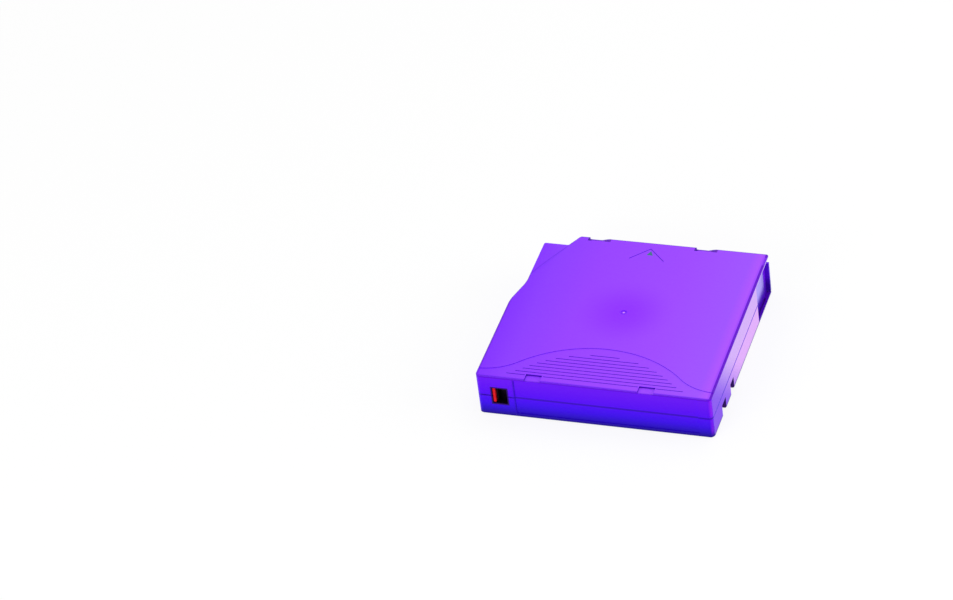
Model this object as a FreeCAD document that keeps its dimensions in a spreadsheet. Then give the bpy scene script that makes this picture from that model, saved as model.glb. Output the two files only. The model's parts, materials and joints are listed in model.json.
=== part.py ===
import FreeCAD, Part

"""Half-inch data tape cartridge, lying flat as it does on a desk.

Millimetres.  The origin is the centre of the case's outline, on the surface it rests on.  +Z is up, +Y is the
way the cartridge goes into a drive, and +X is the side whose front end is closed by the sliding door.

Two moulded shells meet at a seam half way up and are held by four screws.  Between them a single reel of tape
lies on the rim of the spindle opening.  A sprung brake disc inside the hub keeps the reel from turning, and a
three-legged release plate under it lifts it off when a drive pushes the legs up.  The tape's free end is
clamped to a steel leader pin behind the door.
"""

import math
import os

import Sketcher
from FreeCAD import Placement, Rotation, Vector

# alias, value, what it sets
SIZES = (
    # case
    ("case_width", 105.4, "overall width, along X"),
    ("case_depth", 102.0, "overall depth, along Y"),
    ("case_height", 21.5, "overall height, along Z"),
    ("seam_height", 10.8, "height at which the two shells meet"),
    ("wall", 1.8, "side walls"),
    ("floor", 1.8, "floor of the lower shell"),
    ("roof", 1.8, "roof of the upper shell"),
    ("rear_corner_radius", 2.0, "vertical corners at the label end"),
    ("front_corner_radius", 0.9, "vertical corners at the door end"),
    ("top_edge_radius", 0.7, "rounding round the roof"),
    ("bottom_edge_bevel", 0.6, "bevel round the floor"),
    ("seam_groove", 0.25, "height and depth of the line at the seam"),
    ("lip_height", 0.8, "lower shell's lip inside the upper wall"),
    ("lip_thickness", 0.7, "same lip"),
    ("lip_root", 2.0, "how far that lip reaches down inside the lower wall"),
    ("lip_margin", 1.0, "lip from the bosses and blocks inside the walls"),
    ("lip_ends", 4.0, "lip from the outline's corners and from the memory board"),
    ("fit_gap", 0.1, "clearance where one piece slides in another"),
    # outline: stepped front left corner and the relief behind it
    ("step_inset", 18.9, "left end of the full-depth front, from the case side"),
    ("step_depth", 6.9, "how far the left corner is set back from the front"),
    ("step_run", 3.8, "width of the ramp from the front to the step"),
    ("step_ramp_radius", 1.6, "rounding at the front end of that ramp"),
    ("step_root_radius", 0.8, "rounding at the rear end of that ramp"),
    ("relief_depth", 3.8, "how far the left side steps in"),
    ("relief_start", 53.0, "where the left side starts to step in, from the rear"),
    ("relief_run", 13.5, "length of that slope"),
    ("relief_radius", 20.0, "rounding at both ends of that slope"),
    # relief on the roof
    ("grip_drop", 0.25, "how far the grip field lies below the roof"),
    ("grip_peak", 26.1, "front of the grip field, from the rear"),
    ("grip_radius", 52.7, "arc of the grip field"),
    ("grip_shore", 5.0, "where its edge meets the sides, from the rear"),
    ("grip_margin", 4.6, "distance of the line ends from the field's edge"),
    ("grip_first", 21.05, "first grip line, from the rear"),
    ("grip_pitch", 2.17, "distance between grip lines"),
    ("grip_line_width", 0.42, "width of a grip line"),
    ("grip_line_depth", 0.22, "depth of a grip line"),
    ("guide_drop", 0.3, "how far the front left corner of the roof lies lower"),
    ("guide_front", 15.7, "front end of that corner's crease, from the case side"),
    ("guide_rear", 70.2, "rear end of that crease, from the rear"),
    ("guide_radius", 152.0, "curve of that crease"),
    ("arrow_tip", 4.3, "tip of the direction arrow, from the front"),
    ("arrow_reach", 7.9, "how far the arrow's arms go sideways and back"),
    ("arrow_line", 0.4, "width of the arrow's line"),
    ("arrow_depth", 0.2, "depth of the arrow's line"),
    ("gate_radius", 1.5, "dimple round the moulding gate"),
    ("gate_depth", 0.3, "depth of that dimple"),
    # catches in the roof's edges
    ("catch_left", 27.0, "centre of the rear left catch, from the middle"),
    ("catch_front_left", 25.6, "centre of the front left catch, from the middle"),
    ("catch_right", 23.6, "centre of the right catches, from the middle"),
    ("catch_width", 7.2, "width of a catch"),
    ("catch_length", 4.3, "rear catches, from the rear face"),
    ("catch_depth", 1.0, "depth of a rear catch"),
    ("front_catch_length", 2.5, "front catches, from the front face"),
    ("front_catch_depth", 1.35, "depth of a front catch"),
    ("front_catch_flat", 5.2, "level part of a front catch, from its upright end"),
    ("front_catch_ramp", 4.6, "length of its sloped end"),
    # label and window in the rear face
    ("label_left", 17.1, "left end of the label recess, from the case side"),
    ("label_right", 6.4, "right end of the label recess, from the case side"),
    ("label_low", 2.1, "bottom of the label recess"),
    ("label_high", 20.6, "top of the label recess"),
    ("label_depth", 0.3, "depth of the label recess"),
    ("window_left", 6.8, "left edge of the protect window, from the case side"),
    ("window_width", 6.8, "width of the protect window"),
    ("window_low", 6.6, "bottom of the protect window"),
    ("window_high", 14.9, "top of the protect window"),
    # gripper notches in both sides
    ("notch_depth", 3.0, "how far the notches go in"),
    ("notch_height", 6.2, "height of the notches"),
    ("notch_rear_start", 14.8, "rear notch, from the rear"),
    ("notch_rear_length", 6.0, "length of the rear notch"),
    ("notch_front_start", 29.1, "front notch, from the rear"),
    ("notch_front_length", 5.4, "length of the front notch"),
    ("notch_wall", 1.5, "wall round a notch, inside the case"),
    # spindle opening and datum holes in the floor
    ("reel_y", 0.8, "reel axis in front of the case's middle"),
    ("opening_radius", 18.0, "spindle opening in the floor"),
    ("seat_width", 2.4, "rim round the opening, where the reel rests"),
    ("seat_height", 0.5, "height of that rim above the floor"),
    ("datum_radius", 2.5, "round datum hole"),
    ("datum_depth", 4.5, "depth of the datum holes"),
    ("datum_wall", 1.4, "wall round a datum hole"),
    ("datum_left_x", 41.0, "round datum hole, left of the middle"),
    ("datum_left_y", 36.0, "same, in front of the middle"),
    ("datum_right_x", 37.0, "long datum hole, right of the middle"),
    ("datum_right_y", 38.3, "same, in front of the middle"),
    ("datum_slot", 1.2, "extra length of the long datum hole"),
    # reel guard ribs
    ("guard_radius", 48.6, "inner face of the curved ribs round the reel"),
    ("guard_thickness", 1.2, "thickness of those ribs"),
    # case screws
    ("screw_rear_left_x", 6.7, "rear left screw, from the case side"),
    ("screw_rear_left_y", 11.8, "same, from the rear"),
    ("screw_rear_right_x", 7.3, "rear right screw, from the case side"),
    ("screw_rear_right_y", 17.8, "same, from the rear"),
    ("screw_front_left_x", 28.5, "front left screw, left of the middle"),
    ("screw_front_right_x", 31.5, "front right screw, right of the middle"),
    ("screw_front_inset", 5.0, "front screws, from the front"),
    ("boss_radius", 2.7, "screw bosses"),
    ("screw_radius", 1.0, "shank of a case screw"),
    ("screw_length", 12.0, "shank length of a case screw"),
    ("screw_head_radius", 1.9, "head of a case screw"),
    ("screw_head_height", 1.1, "same head"),
    ("screw_socket", 0.95, "six-sided socket in the head, to its corners"),
    ("screw_recess", 1.6, "how deep the screw heads sit in the floor"),
    ("screw_clearance", 0.2, "play round a screw in the lower shell"),
    # door
    ("door_setback", 2.0, "door's outer face, inside the case side"),
    ("door_thickness", 1.5, "door plate"),
    ("door_zone", 79.0, "where the side wall ends and the door starts, from the rear"),
    ("door_overlap", 2.0, "door behind the end of the side wall"),
    ("door_travel", 20.0, "how far the door slides to the rear"),
    ("door_track_depth", 0.6, "track in the floor and in the roof"),
    ("door_lug_width", 1.1, "lug at the door's front end"),
    ("door_lug_low", 1.6, "bottom of that lug"),
    ("door_lug_high", 17.0, "top of that lug"),
    ("door_stop_width", 1.0, "stop rib inside the door"),
    ("door_stop_depth", 0.55, "how far the stop rib stands out"),
    ("channel_depth", 0.7, "channel in the sill under the door's lug"),
    ("channel_lip", 0.5, "lip outside that channel"),
    ("channel_length", 17.0, "length of that channel"),
    ("rail_height", 1.3, "guide rail inside the door's track, on the floor"),
    ("rail_width", 0.7, "same rail"),
    # door spring
    ("door_wire", 0.5, "wire of the door spring"),
    ("door_coil_radius", 2.4, "middle of the wire in the coil"),
    ("door_coil_rise", 1.2, "lower arm below the upper one"),
    ("door_arm", 18.0, "each of its two arms"),
    ("door_eye", 0.95, "middle of the wire in the eyes at the arms' ends"),
    ("hook_radius", 0.6, "pins that the eyes hang on"),
    ("hook_inset", 1.3, "these pins, inside the door plate"),
    ("hook_ahead", 1.4, "pin on the door, from the door's rear end"),
    ("hook_behind", 31.0, "pin on the roof, behind the pin on the door"),
    ("hook_tab", 0.6, "thickness of the door's tab with the pin"),
    # reel
    ("flange_radius", 47.6, "reel flanges"),
    ("flange_thickness", 1.2, "flanges at the hub"),
    ("flange_rim", 0.8, "flanges at the rim"),
    ("flange_shoulder", 3.0, "collar of full thickness on the flanges, outside the hub"),
    ("reel_clearance", 0.1, "reel above its seat"),
    ("tape_slot", 12.95, "distance between the flanges"),
    ("hub_radius", 22.0, "surface that the tape is wound on"),
    ("hub_wall", 2.0, "wall of the hub"),
    ("web_thickness", 1.6, "web across the bottom of the hub"),
    ("hub_bore_radius", 3.0, "hole in the middle of the web"),
    ("gear_inner", 13.6, "inner end of the drive teeth"),
    ("gear_outer", 16.2, "outer end of the drive teeth"),
    ("gear_height", 1.4, "height of the drive teeth"),
    ("gear_teeth", 60, "number of drive teeth"),
    ("tooth_root", 1.2, "width of a drive tooth at its root"),
    ("tooth_tip", 0.4, "width of a drive tooth at its tip"),
    ("brake_inner", 16.9, "inner end of the brake teeth"),
    ("brake_outer", 19.1, "outer end of the brake teeth"),
    ("brake_height", 1.2, "height of the brake teeth"),
    ("brake_teeth", 36, "number of brake teeth"),
    ("brake_root", 2.0, "width of a brake tooth at its root"),
    ("brake_tip", 0.8, "width of a brake tooth at its tip"),
    ("brake_play", 0.15, "free height between brake tooth tips and roots"),
    ("leg_circle", 14.9, "radius on which the release legs stand"),
    ("leg_width", 3.0, "release leg, across"),
    ("leg_depth", 2.2, "release leg, outwards"),
    ("leg_play", 0.25, "play of a release leg in its window"),
    ("plate_outer", 12.6, "steel plate under the web"),
    ("plate_inner", 5.5, "hole in the steel plate"),
    ("plate_thickness", 1.0, "steel plate"),
    ("plate_rim", 0.6, "rim of the hub round the steel plate"),
    # tape
    ("tape_width", 12.65, "width of the tape"),
    ("tape_radius", 46.9, "outside of the wound tape"),
    ("leader_thickness", 0.12, "leader tape"),
    ("leader_gap", 0.2, "leader tape off the wound tape"),
    # brake
    ("brake_disc_radius", 19.5, "brake disc"),
    ("brake_disc_thickness", 1.5, "brake disc"),
    ("brake_boss_radius", 6.4, "boss on the brake disc"),
    ("brake_boss_height", 7.0, "same boss"),
    ("brake_lift", 2.0, "how far the brake lifts"),
    ("guide_rib", 1.2, "cross rib of the roof that keeps the brake from turning"),
    ("guide_span", 9.4, "length of the cross rib's arms"),
    ("guide_engagement", 2.7, "how deep the cross rib reaches into the boss"),
    ("guide_play", 0.15, "play of the cross rib in its slots"),
    ("brake_spring_radius", 8.2, "middle of the wire in the brake spring"),
    ("brake_wire", 1.0, "wire of the brake spring"),
    ("brake_spring_turns", 4.0, "turns of the brake spring"),
    ("spring_ring_gap", 0.6, "retaining ring outside the brake spring"),
    ("spring_ring_height", 1.5, "height of that ring"),
    ("release_thickness", 1.0, "release plate"),
    ("release_hub_radius", 5.0, "middle of the release plate"),
    ("release_arm_width", 4.4, "arms of the release plate"),
    # leader pin
    ("pin_inset", 7.7, "leader pin, inside the case side"),
    ("pin_setback", 10.0, "leader pin, from the front"),
    ("pin_radius", 1.5, "body of the leader pin"),
    ("pin_flange_radius", 2.45, "flanges of the leader pin"),
    ("pin_flange_height", 1.2, "same flanges"),
    ("pin_seat_depth", 0.5, "slots that hold the pin, in the floor and in the roof"),
    ("clamp_thickness", 0.5, "clamp that holds the tape on the pin"),
    ("clamp_opening", 110.0, "open side of the clamp, in degrees"),
    ("leaf_thickness", 0.3, "leaf spring that holds the pin"),
    ("leaf_finger", 1.1, "height of its fingers"),
    ("leaf_post", 1.2, "square posts that hold it against the front wall"),
    ("leaf_left", 7.5, "left end of the leaf spring, left of the pin"),
    ("leaf_bend", 1.6, "where its fingers bend inwards, left of the pin"),
    ("leaf_reach_x", 3.5, "corner of its fingers, right of the pin"),
    ("leaf_reach_y", 4.4, "same, in front of the pin"),
    # write protect slider
    ("slider_width", 6.8, "slider along X"),
    ("slider_thickness", 2.8, "slider along Y"),
    ("slider_height", 9.6, "slider along Z"),
    ("slider_travel", 4.7, "how far the slider moves"),
    ("slider_rib", 0.35, "finger ribs of the slider"),
    ("slider_rib_pitch", 1.3, "distance between the finger ribs"),
    ("bay_wall", 0.8, "walls round the slider"),
    # cartridge memory
    ("board_length", 18.4, "memory board along X"),
    ("board_slant", 10.6, "memory board up its slope"),
    ("board_thickness", 0.6, "memory board"),
    ("board_inset", 2.1, "right end of the board, from the case side"),
    ("board_foot", 10.6, "foot of the board, from the rear"),
    ("board_post", 1.6, "posts that hold the board"),
    ("board_grip", 0.8, "how far the board's ends reach into the posts"),
    ("antenna_width", 1.5, "printed coil on the board"),
    ("antenna_margin", 0.9, "coil from the board's edges"),
    ("antenna_thickness", 0.1, "same coil"),
    ("chip_size", 3.2, "memory chip"),
    ("chip_thickness", 0.5, "same chip"),
)


def text_of(term):
    """The sheet formula of a size, or the plain number."""
    return term.text if isinstance(term, Size) else repr(float(term))


def value_of(term):
    """The number of a size, or the plain number."""
    return term.value if isinstance(term, Size) else float(term)


# first and last angle of each curved rib round the reel, in degrees
GUARD_ANGLES = ((122, 146), (216, 236), (304, 324))
# sides of a spring wire, its sections in each turn and in an eye, and how far round an eye goes, in degrees
WIRE_SIDES = 6
RINGS_PER_TURN = 12
EYE_RINGS = 9
EYE_TURN = 310


class Size:
    """A number together with the sheet formula that it comes from, so that sums stay bound to the sheet."""

    def __init__(self, value, text):
        self.value = value
        self.text = text

    def __add__(self, other):
        return Size(self.value + value_of(other), f"({self.text} + {text_of(other)})")

    def __radd__(self, other):
        return Size(value_of(other) + self.value, f"({text_of(other)} + {self.text})")

    def __sub__(self, other):
        return Size(self.value - value_of(other), f"({self.text} - {text_of(other)})")

    def __rsub__(self, other):
        return Size(value_of(other) - self.value, f"({text_of(other)} - {self.text})")

    def __mul__(self, other):
        return Size(self.value * value_of(other), f"({self.text} * {text_of(other)})")

    def __rmul__(self, other):
        return Size(value_of(other) * self.value, f"({text_of(other)} * {self.text})")

    def __truediv__(self, other):
        return Size(self.value / value_of(other), f"({self.text} / {text_of(other)})")

    def __rtruediv__(self, other):
        return Size(value_of(other) / self.value, f"({text_of(other)} / {self.text})")

    def __neg__(self):
        return Size(-self.value, f"(0 - {self.text})")


def root(term):
    """Square root of a size."""
    return Size(math.sqrt(term.value), f"sqrt({term.text})")


def plain(number):
    """A bare number in a size's place."""
    return Size(float(number), repr(float(number)))


class Sheet:
    """The document's spreadsheet.  Each size reads as an attribute."""

    def __init__(self, doc):
        self.cells = doc.addObject("Spreadsheet::Sheet", "Sizes")
        for row, (alias, value, meaning) in enumerate(SIZES, start=1):
            self.cells.set(f"A{row}", alias)
            self.cells.set(f"B{row}", str(value))
            self.cells.setAlias(f"B{row}", alias)
            self.cells.set(f"C{row}", meaning)
        doc.recompute()

    def __getattr__(self, alias):
        return Size(float(self.cells.get(alias)), f"Sizes.{alias}")


doc = FreeCAD.newDocument("data_tape_cartridge")
s = Sheet(doc)

# ---------------------------------------------------------------- places shared by several pieces
half_width = s.case_width / 2
half_depth = s.case_depth / 2
rear = -half_depth
front = half_depth
left = -half_width
right = half_width
floor_top = s.floor
roof_under = s.case_height - s.roof
past = 2.0  # how far a cutting outline runs past the case

door_face = right - s.door_setback
door_back = door_face - s.door_thickness
door_zone = rear + s.door_zone
door_rear = door_zone - s.door_overlap
door_front = front - s.fit_gap
track_rear = door_rear - s.door_travel - 2 * s.fit_gap
track_back = door_back - s.fit_gap
track_face = door_face + s.fit_gap
track_low = floor_top - s.door_track_depth
track_high = roof_under + s.door_track_depth

seat_top = floor_top + s.seat_height
flange_low = seat_top + s.reel_clearance
web_low = flange_low + s.flange_thickness
web_top = web_low + s.web_thickness
flange_high = web_low + s.tape_slot
tape_low = web_low + (s.tape_slot - s.tape_width) / 2
brake_tip_low = web_top + s.brake_play
brake_under = brake_tip_low + s.brake_height
brake_top = brake_under + s.brake_disc_thickness
boss_top = brake_top + s.brake_boss_height
release_low = web_top + s.fit_gap
release_top = release_low + s.release_thickness

window_left = left + s.window_left
window_right = window_left + s.window_width
bay_right = window_right + s.fit_gap
bay_back = rear + s.wall + s.slider_thickness + 2 * s.fit_gap
board_left = right - s.board_inset - s.board_length
slider_middle = (s.window_low + s.window_high) / 2
slider_low = slider_middle - s.slider_height / 2
slider_high = slider_middle + s.slider_height / 2

spring_high = roof_under - s.door_wire / 2 - 2 * s.fit_gap
spring_low = spring_high - s.door_coil_rise
hook_x = door_back - s.hook_inset
hook_front_y = door_rear + s.hook_ahead
hook_rear_y = hook_front_y - s.hook_behind

pin_x = right - s.pin_inset
pin_y = front - s.pin_setback
pin_low = floor_top - s.pin_seat_depth + s.fit_gap
pin_high = roof_under + s.pin_seat_depth - s.fit_gap

screw_places = (
    (left + s.screw_rear_left_x, rear + s.screw_rear_left_y),
    (right - s.screw_rear_right_x, rear + s.screw_rear_right_y),
    (-s.screw_front_left_x, front - s.screw_front_inset),
    (s.screw_front_right_x, front - s.screw_front_inset),
)
screw_seat = s.screw_recess


# ---------------------------------------------------------------- drawing helpers
class Outline:
    """One sketch on an origin plane of a body.  Every corner and circle in it is tied to the sheet."""

    def __init__(self, body, name, level, role="XY_Plane"):
        self.sketch = body.newObject("Sketcher::SketchObject", name)
        plane = next(item for item in body.Origin.OriginFeatures if item.Role == role)
        self.sketch.AttachmentSupport = [(plane, "")]
        self.sketch.MapMode = "FlatFace"
        self.sketch.AttachmentOffset = Placement(Vector(0, 0, value_of(level)), Rotation())
        self.sketch.setExpression("AttachmentOffset.Base.z", text_of(level))

    def bind(self, kind, *places, size):
        """Add a constraint whose value follows the sheet."""
        index = self.sketch.addConstraint(Sketcher.Constraint(kind, *places, value_of(size)))
        self.sketch.setExpression(f"Constraints[{index}]", text_of(size))

    def place(self, edge, end, x, y):
        """Tie one end or the centre of an edge to the sketch's origin."""
        self.bind("DistanceX", -1, 1, edge, end, size=x)
        self.bind("DistanceY", -1, 1, edge, end, size=y)

    def circle(self, x, y, radius):
        middle = Vector(value_of(x), value_of(y), 0)
        edge = self.sketch.addGeometry(Part.Circle(middle, Vector(0, 0, 1), value_of(radius)))
        self.place(edge, 3, x, y)
        self.bind("Radius", edge, size=radius)

    def box(self, x_low, y_low, x_high, y_high):
        self.loop(((x_low, y_low), (x_high, y_low), (x_high, y_high), (x_low, y_high)))

    def loop(self, corners):
        """A closed outline.  A corner is (x, y), or (x, y, radius) where an arc leads on to the next corner.
        The arc bulges to the right of the way there for a positive radius, to the left for a negative one."""
        edges = []
        for corner, following in zip(corners, corners[1:] + corners[:1]):
            start = Vector(value_of(corner[0]), value_of(corner[1]), 0)
            end = Vector(value_of(following[0]), value_of(following[1]), 0)
            if len(corner) == 2:
                edges.append((self.sketch.addGeometry(Part.LineSegment(start, end)), 1, 2))
                continue
            reach = value_of(corner[2])
            along = end - start
            height = math.sqrt(reach * reach - along.Length**2 / 4)
            inwards = Vector(-along.y, along.x, 0).normalize() * math.copysign(height, reach)
            middle = (start + end) / 2 + inwards
            ends = (start, end) if reach > 0 else (end, start)
            turns = [math.atan2(point.y - middle.y, point.x - middle.x) for point in ends]
            circle = Part.Circle(middle, Vector(0, 0, 1), abs(reach))
            edge = self.sketch.addGeometry(Part.ArcOfCircle(circle, *turns))
            edges.append((edge, 1, 2) if reach > 0 else (edge, 2, 1))
            size = corner[2] if reach > 0 else -corner[2]
            self.bind("Radius", edge, size=size)
        for (edge, _, tail), (nxt, head, _) in zip(edges, edges[1:] + edges[:1]):
            self.sketch.addConstraint(Sketcher.Constraint("Coincident", edge, tail, nxt, head))
        for (edge, head, _), corner in zip(edges, corners):
            self.place(edge, head, corner[0], corner[1])


def new_body(name):
    body = doc.addObject("PartDesign::Body", name)
    body.Label = name
    return body


def feature(body, kind, name, outline, length):
    made = body.newObject(f"PartDesign::{kind}", name)
    made.Profile = outline.sketch
    made.Length = value_of(length)
    made.setExpression("Length", text_of(length))
    made.Refine = False
    return made


def add(body, name, draw, low, high):
    """A prism along Z between two heights.  draw(outline) draws its plan."""
    outline = Outline(body, f"{name}_plan", low)
    draw(outline)
    return feature(body, "Pad", name, outline, high - low)


def cut(body, name, draw, low, high):
    """A prism along Z taken away between two heights."""
    outline = Outline(body, f"{name}_plan", high)
    draw(outline)
    return feature(body, "Pocket", name, outline, high - low)


def add_across(body, name, draw, x_low, x_high):
    """A prism along X.  draw(outline) draws it in Y and Z."""
    outline = Outline(body, f"{name}_side", x_low, "YZ_Plane")
    draw(outline)
    return feature(body, "Pad", name, outline, x_high - x_low)


def cut_across(body, name, draw, x_low, x_high):
    outline = Outline(body, f"{name}_side", x_high, "YZ_Plane")
    draw(outline)
    return feature(body, "Pocket", name, outline, x_high - x_low)


def cut_lengthwise(body, name, draw, y_low, y_high):
    """A prism along Y taken away.  draw(outline) draws it in X and Z; the sketch plane faces the rear."""
    outline = Outline(body, f"{name}_end", -y_low, "XZ_Plane")
    draw(outline)
    return feature(body, "Pocket", name, outline, y_high - y_low)


def boxes(*corners):
    """A plan of several rectangles, each (x low, y low, x high, y high)."""

    def draw(outline):
        for corner in corners:
            outline.box(*corner)

    return draw


def circles(*places):
    """A plan of several circles, each (x, y, radius)."""

    def draw(outline):
        for place in places:
            outline.circle(*place)

    return draw


def vertical_edges(shape, places):
    """Names of the edges that stand upright at the given plan points."""
    names = []
    for number, edge in enumerate(shape.Edges, start=1):
        low, high = edge.Vertexes[0].Point, edge.Vertexes[-1].Point
        upright = abs(low.x - high.x) < 1e-5 and abs(low.y - high.y) < 1e-5
        for x, y in places:
            if upright and abs(low.x - value_of(x)) < 1e-4 and abs(low.y - value_of(y)) < 1e-4:
                names.append(f"Edge{number}")
    return names


def edges_at(shape, height):
    """Names of the edges that lie flat at one height."""
    names = []
    for number, edge in enumerate(shape.Edges, start=1):
        box = edge.BoundBox
        if abs(box.ZMin - value_of(height)) < 1e-5 and abs(box.ZMax - value_of(height)) < 1e-5:
            names.append(f"Edge{number}")
    return names


def dress(body, kind, name, edges, size):
    """Round or bevel edges of the body as it is now."""
    base = body.Tip
    made = body.newObject(f"PartDesign::{kind}", name)
    made.Base = (base, edges)
    made.Refine = False
    field = "Radius" if kind == "Fillet" else "Size"
    setattr(made, field, value_of(size))
    made.setExpression(field, text_of(size))
    doc.recompute()
    return made


def ring_pattern(body, name, original, count):
    """Copies of one feature round the Z axis."""
    made = body.newObject("PartDesign::PolarPattern", name)
    made.Originals = [original]
    made.Axis = (next(item for item in body.Origin.OriginFeatures if item.Role == "Z_Axis"), [""])
    made.Angle = 360
    made.Occurrences = int(value_of(count))
    made.setExpression("Occurrences", text_of(count))
    made.Refine = False
    body.Tip = made
    return made


def polar(middle_x, middle_y, radius, degrees):
    """The point on a circle at an angle, as two sizes."""
    turn = math.radians(degrees)
    return middle_x + radius * math.cos(turn), middle_y + radius * math.sin(turn)


def band(middle_x, middle_y, inner, thickness, start, end):
    """Corners of an arc-shaped wall between two angles in degrees, in stretches of under half a turn."""
    outer = inner + thickness
    stretches = math.ceil((end - start) / 150)
    angles = [start + (end - start) * step / stretches for step in range(stretches + 1)]
    there = [polar(middle_x, middle_y, outer, angle) for angle in angles]
    back = [polar(middle_x, middle_y, inner, angle) for angle in reversed(angles)]
    out = [(*point, outer) for point in there[:-1]] + [there[-1]]
    home = [(*point, -inner) for point in back[:-1]] + [back[-1]]
    return tuple(out + home)


# ---------------------------------------------------------------- case outline
step_left = left + s.step_inset
step_back = front - s.step_depth
side_in = left + s.relief_depth
relief_low = rear + s.relief_start
relief_high = relief_low + s.relief_run


def case_corners():
    """Outside corners of the case in plan, before rounding, against the clock from the rear left."""
    return (
        (left, rear),
        (right, rear),
        (right, front),
        (step_left, front),
        (step_left - s.step_run, step_back),
        (side_in, step_back),
        (side_in, relief_high),
        (left, relief_low),
    )


def inner_corners():
    """The same outline moved in by the wall.  Each sloped stretch keeps the wall's thickness across it."""
    ramp = root(s.step_run * s.step_run + s.step_depth * s.step_depth)
    ramp_shift = s.wall * (ramp - s.step_run) / s.step_depth
    slope = root(s.relief_depth * s.relief_depth + s.relief_run * s.relief_run)
    slope_shift = s.wall * (slope - s.relief_run) / s.relief_depth
    return (
        (left + s.wall, rear + s.wall),
        (right - s.wall, rear + s.wall),
        (right - s.wall, front - s.wall),
        (step_left + ramp_shift, front - s.wall),
        (step_left - s.step_run + ramp_shift, step_back - s.wall),
        (side_in + s.wall, step_back - s.wall),
        (side_in + s.wall, relief_high - slope_shift),
        (left + s.wall, relief_low - slope_shift),
    )


def case_block(body, low, high):
    """The solid outline of one shell with its upright corners rounded."""
    corners = case_corners()
    add(body, "block", lambda outline: outline.loop(corners), low, high)
    doc.recompute()
    rear_left, rear_right, front_right = corners[:3]
    ramp_front, ramp_root, step_corner, relief_front, relief_rear = corners[3:]
    for name, places, radius in (
        ("rear_corners", (rear_left, rear_right), s.rear_corner_radius),
        ("front_corners", (front_right, step_corner), s.front_corner_radius),
        ("ramp_front", (ramp_front,), s.step_ramp_radius),
        ("ramp_root", (ramp_root,), s.step_root_radius),
        ("relief_ends", (relief_front, relief_rear), s.relief_radius),
    ):
        dress(body, "Fillet", name, vertical_edges(body.Shape, places), radius)


def guard_ribs(outline):
    """Curved walls round the reel, in the three corners that the tape doesn't pass."""
    for start, end in GUARD_ANGLES:
        outline.loop(band(plain(0), s.reel_y, s.guard_radius, s.guard_thickness, start, end))


def boss_circles(radius):
    return circles(*((x, y, radius) for x, y in screw_places))


label_box = (left + s.label_left, rear - past, right - s.label_right, rear + s.label_depth)
window_box = (window_left, rear - past, window_right, rear + s.wall + past / 4)


# ---------------------------------------------------------------- upper shell
def grip_wave():
    """Centre of the grip field's wide arc, then the radius and centre of the arcs that end at the sides."""
    wave_y = rear + s.grip_peak - s.grip_radius
    shore = rear + s.grip_shore
    drop = shore - wave_y
    spare = half_width * half_width + drop * drop - s.grip_radius * s.grip_radius
    tail = spare / (2 * (s.grip_radius - drop))
    return wave_y, tail, shore + tail


def grip_field(outline):
    """Wave-shaped field at the rear of the roof: one wide arc that runs into a smaller one at each side."""
    wave_y, tail, tail_y = grip_wave()
    share = s.grip_radius / (s.grip_radius + tail)
    meet_x = half_width * share
    meet_y = wave_y + (tail_y - wave_y) * share
    shore = tail_y - tail
    outline.loop(
        (
            (left, rear - past),
            (right, rear - past),
            (right, shore, -tail),
            (meet_x, meet_y, s.grip_radius),
            (-meet_x, meet_y, -tail),
            (left, shore),
        )
    )


def grip_lines(outline):
    """Straight lines across the grip field.  Their ends keep a margin from the field's edge, and those at the
    rear leave out the catches."""
    wave_y, tail, tail_y = grip_wave()
    inner = s.grip_radius - s.grip_margin
    outer = tail + s.grip_margin
    meet_y = wave_y + (tail_y - wave_y) * inner / (s.grip_radius + tail)
    reach = s.catch_width / 2 + s.grip_line_width
    stretches = (
        (None, -s.catch_left - reach),
        (reach - s.catch_left, s.catch_right - reach),
        (s.catch_right + reach, None),
    )
    line = rear + s.grip_first
    while line.value - s.grip_line_width.value > rear.value + s.rear_corner_radius.value:
        if line.value > meet_y.value:
            offset = line - wave_y
            half = root(inner * inner - offset * offset)
        else:
            offset = line - tail_y
            half = half_width - root(outer * outer - offset * offset)
        low, high = line - s.grip_line_width / 2, line + s.grip_line_width / 2
        if low.value > rear.value + s.catch_length.value:
            outline.box(-half, low, half, high)
        else:
            for start, end in stretches:
                outline.box(-half if start is None else start, low, half if end is None else end, high)
        line = line - s.grip_pitch


def guide_corner(outline):
    """Front left corner of the roof, outside a gently curved crease."""
    outline.loop(
        (
            (left + s.guide_front, front),
            (left - past, front),
            (left - past, rear + s.guide_rear),
            (side_in, rear + s.guide_rear, s.guide_radius),
            (left + s.guide_front, step_back),
        )
    )


def arrow(outline):
    """A plain chevron that points the way in."""
    tip = front - s.arrow_tip
    reach = s.arrow_reach
    thick = s.arrow_line * math.sqrt(2)
    outline.loop(
        (
            (plain(0), tip),
            (-reach, tip - reach),
            (-reach, tip - reach - thick),
            (plain(0), tip - thick),
            (reach, tip - reach - thick),
            (reach, tip - reach),
        )
    )


def front_catch(outline, middle):
    """Catch with one upright end and one that slopes up to the roof and on past it."""
    start = middle - s.catch_width / 2
    flat = start + s.front_catch_flat
    low = s.case_height - s.front_catch_depth
    outline.loop(
        (
            (start, low),
            (flat, low),
            (flat + 2 * s.front_catch_ramp, s.case_height + s.front_catch_depth),
            (start, s.case_height + s.front_catch_depth),
        )
    )


def bay_blocks(body, low, high, shelf_low, shelf_high):
    """Walls of the write protect slider's bay in one shell, and the shelf that the slider runs along."""
    inside = rear + s.wall
    wall_left = left + s.wall
    add(
        body,
        "bay_walls",
        boxes((wall_left, bay_back, bay_right + s.bay_wall, bay_back + s.bay_wall)),
        low,
        high,
    )
    add(body, "bay_stop", boxes((bay_right, inside, bay_right + s.bay_wall, bay_back)), low, high)
    add(body, "bay_shelf", boxes((wall_left, inside, bay_right, bay_back)), shelf_low, shelf_high)


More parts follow.
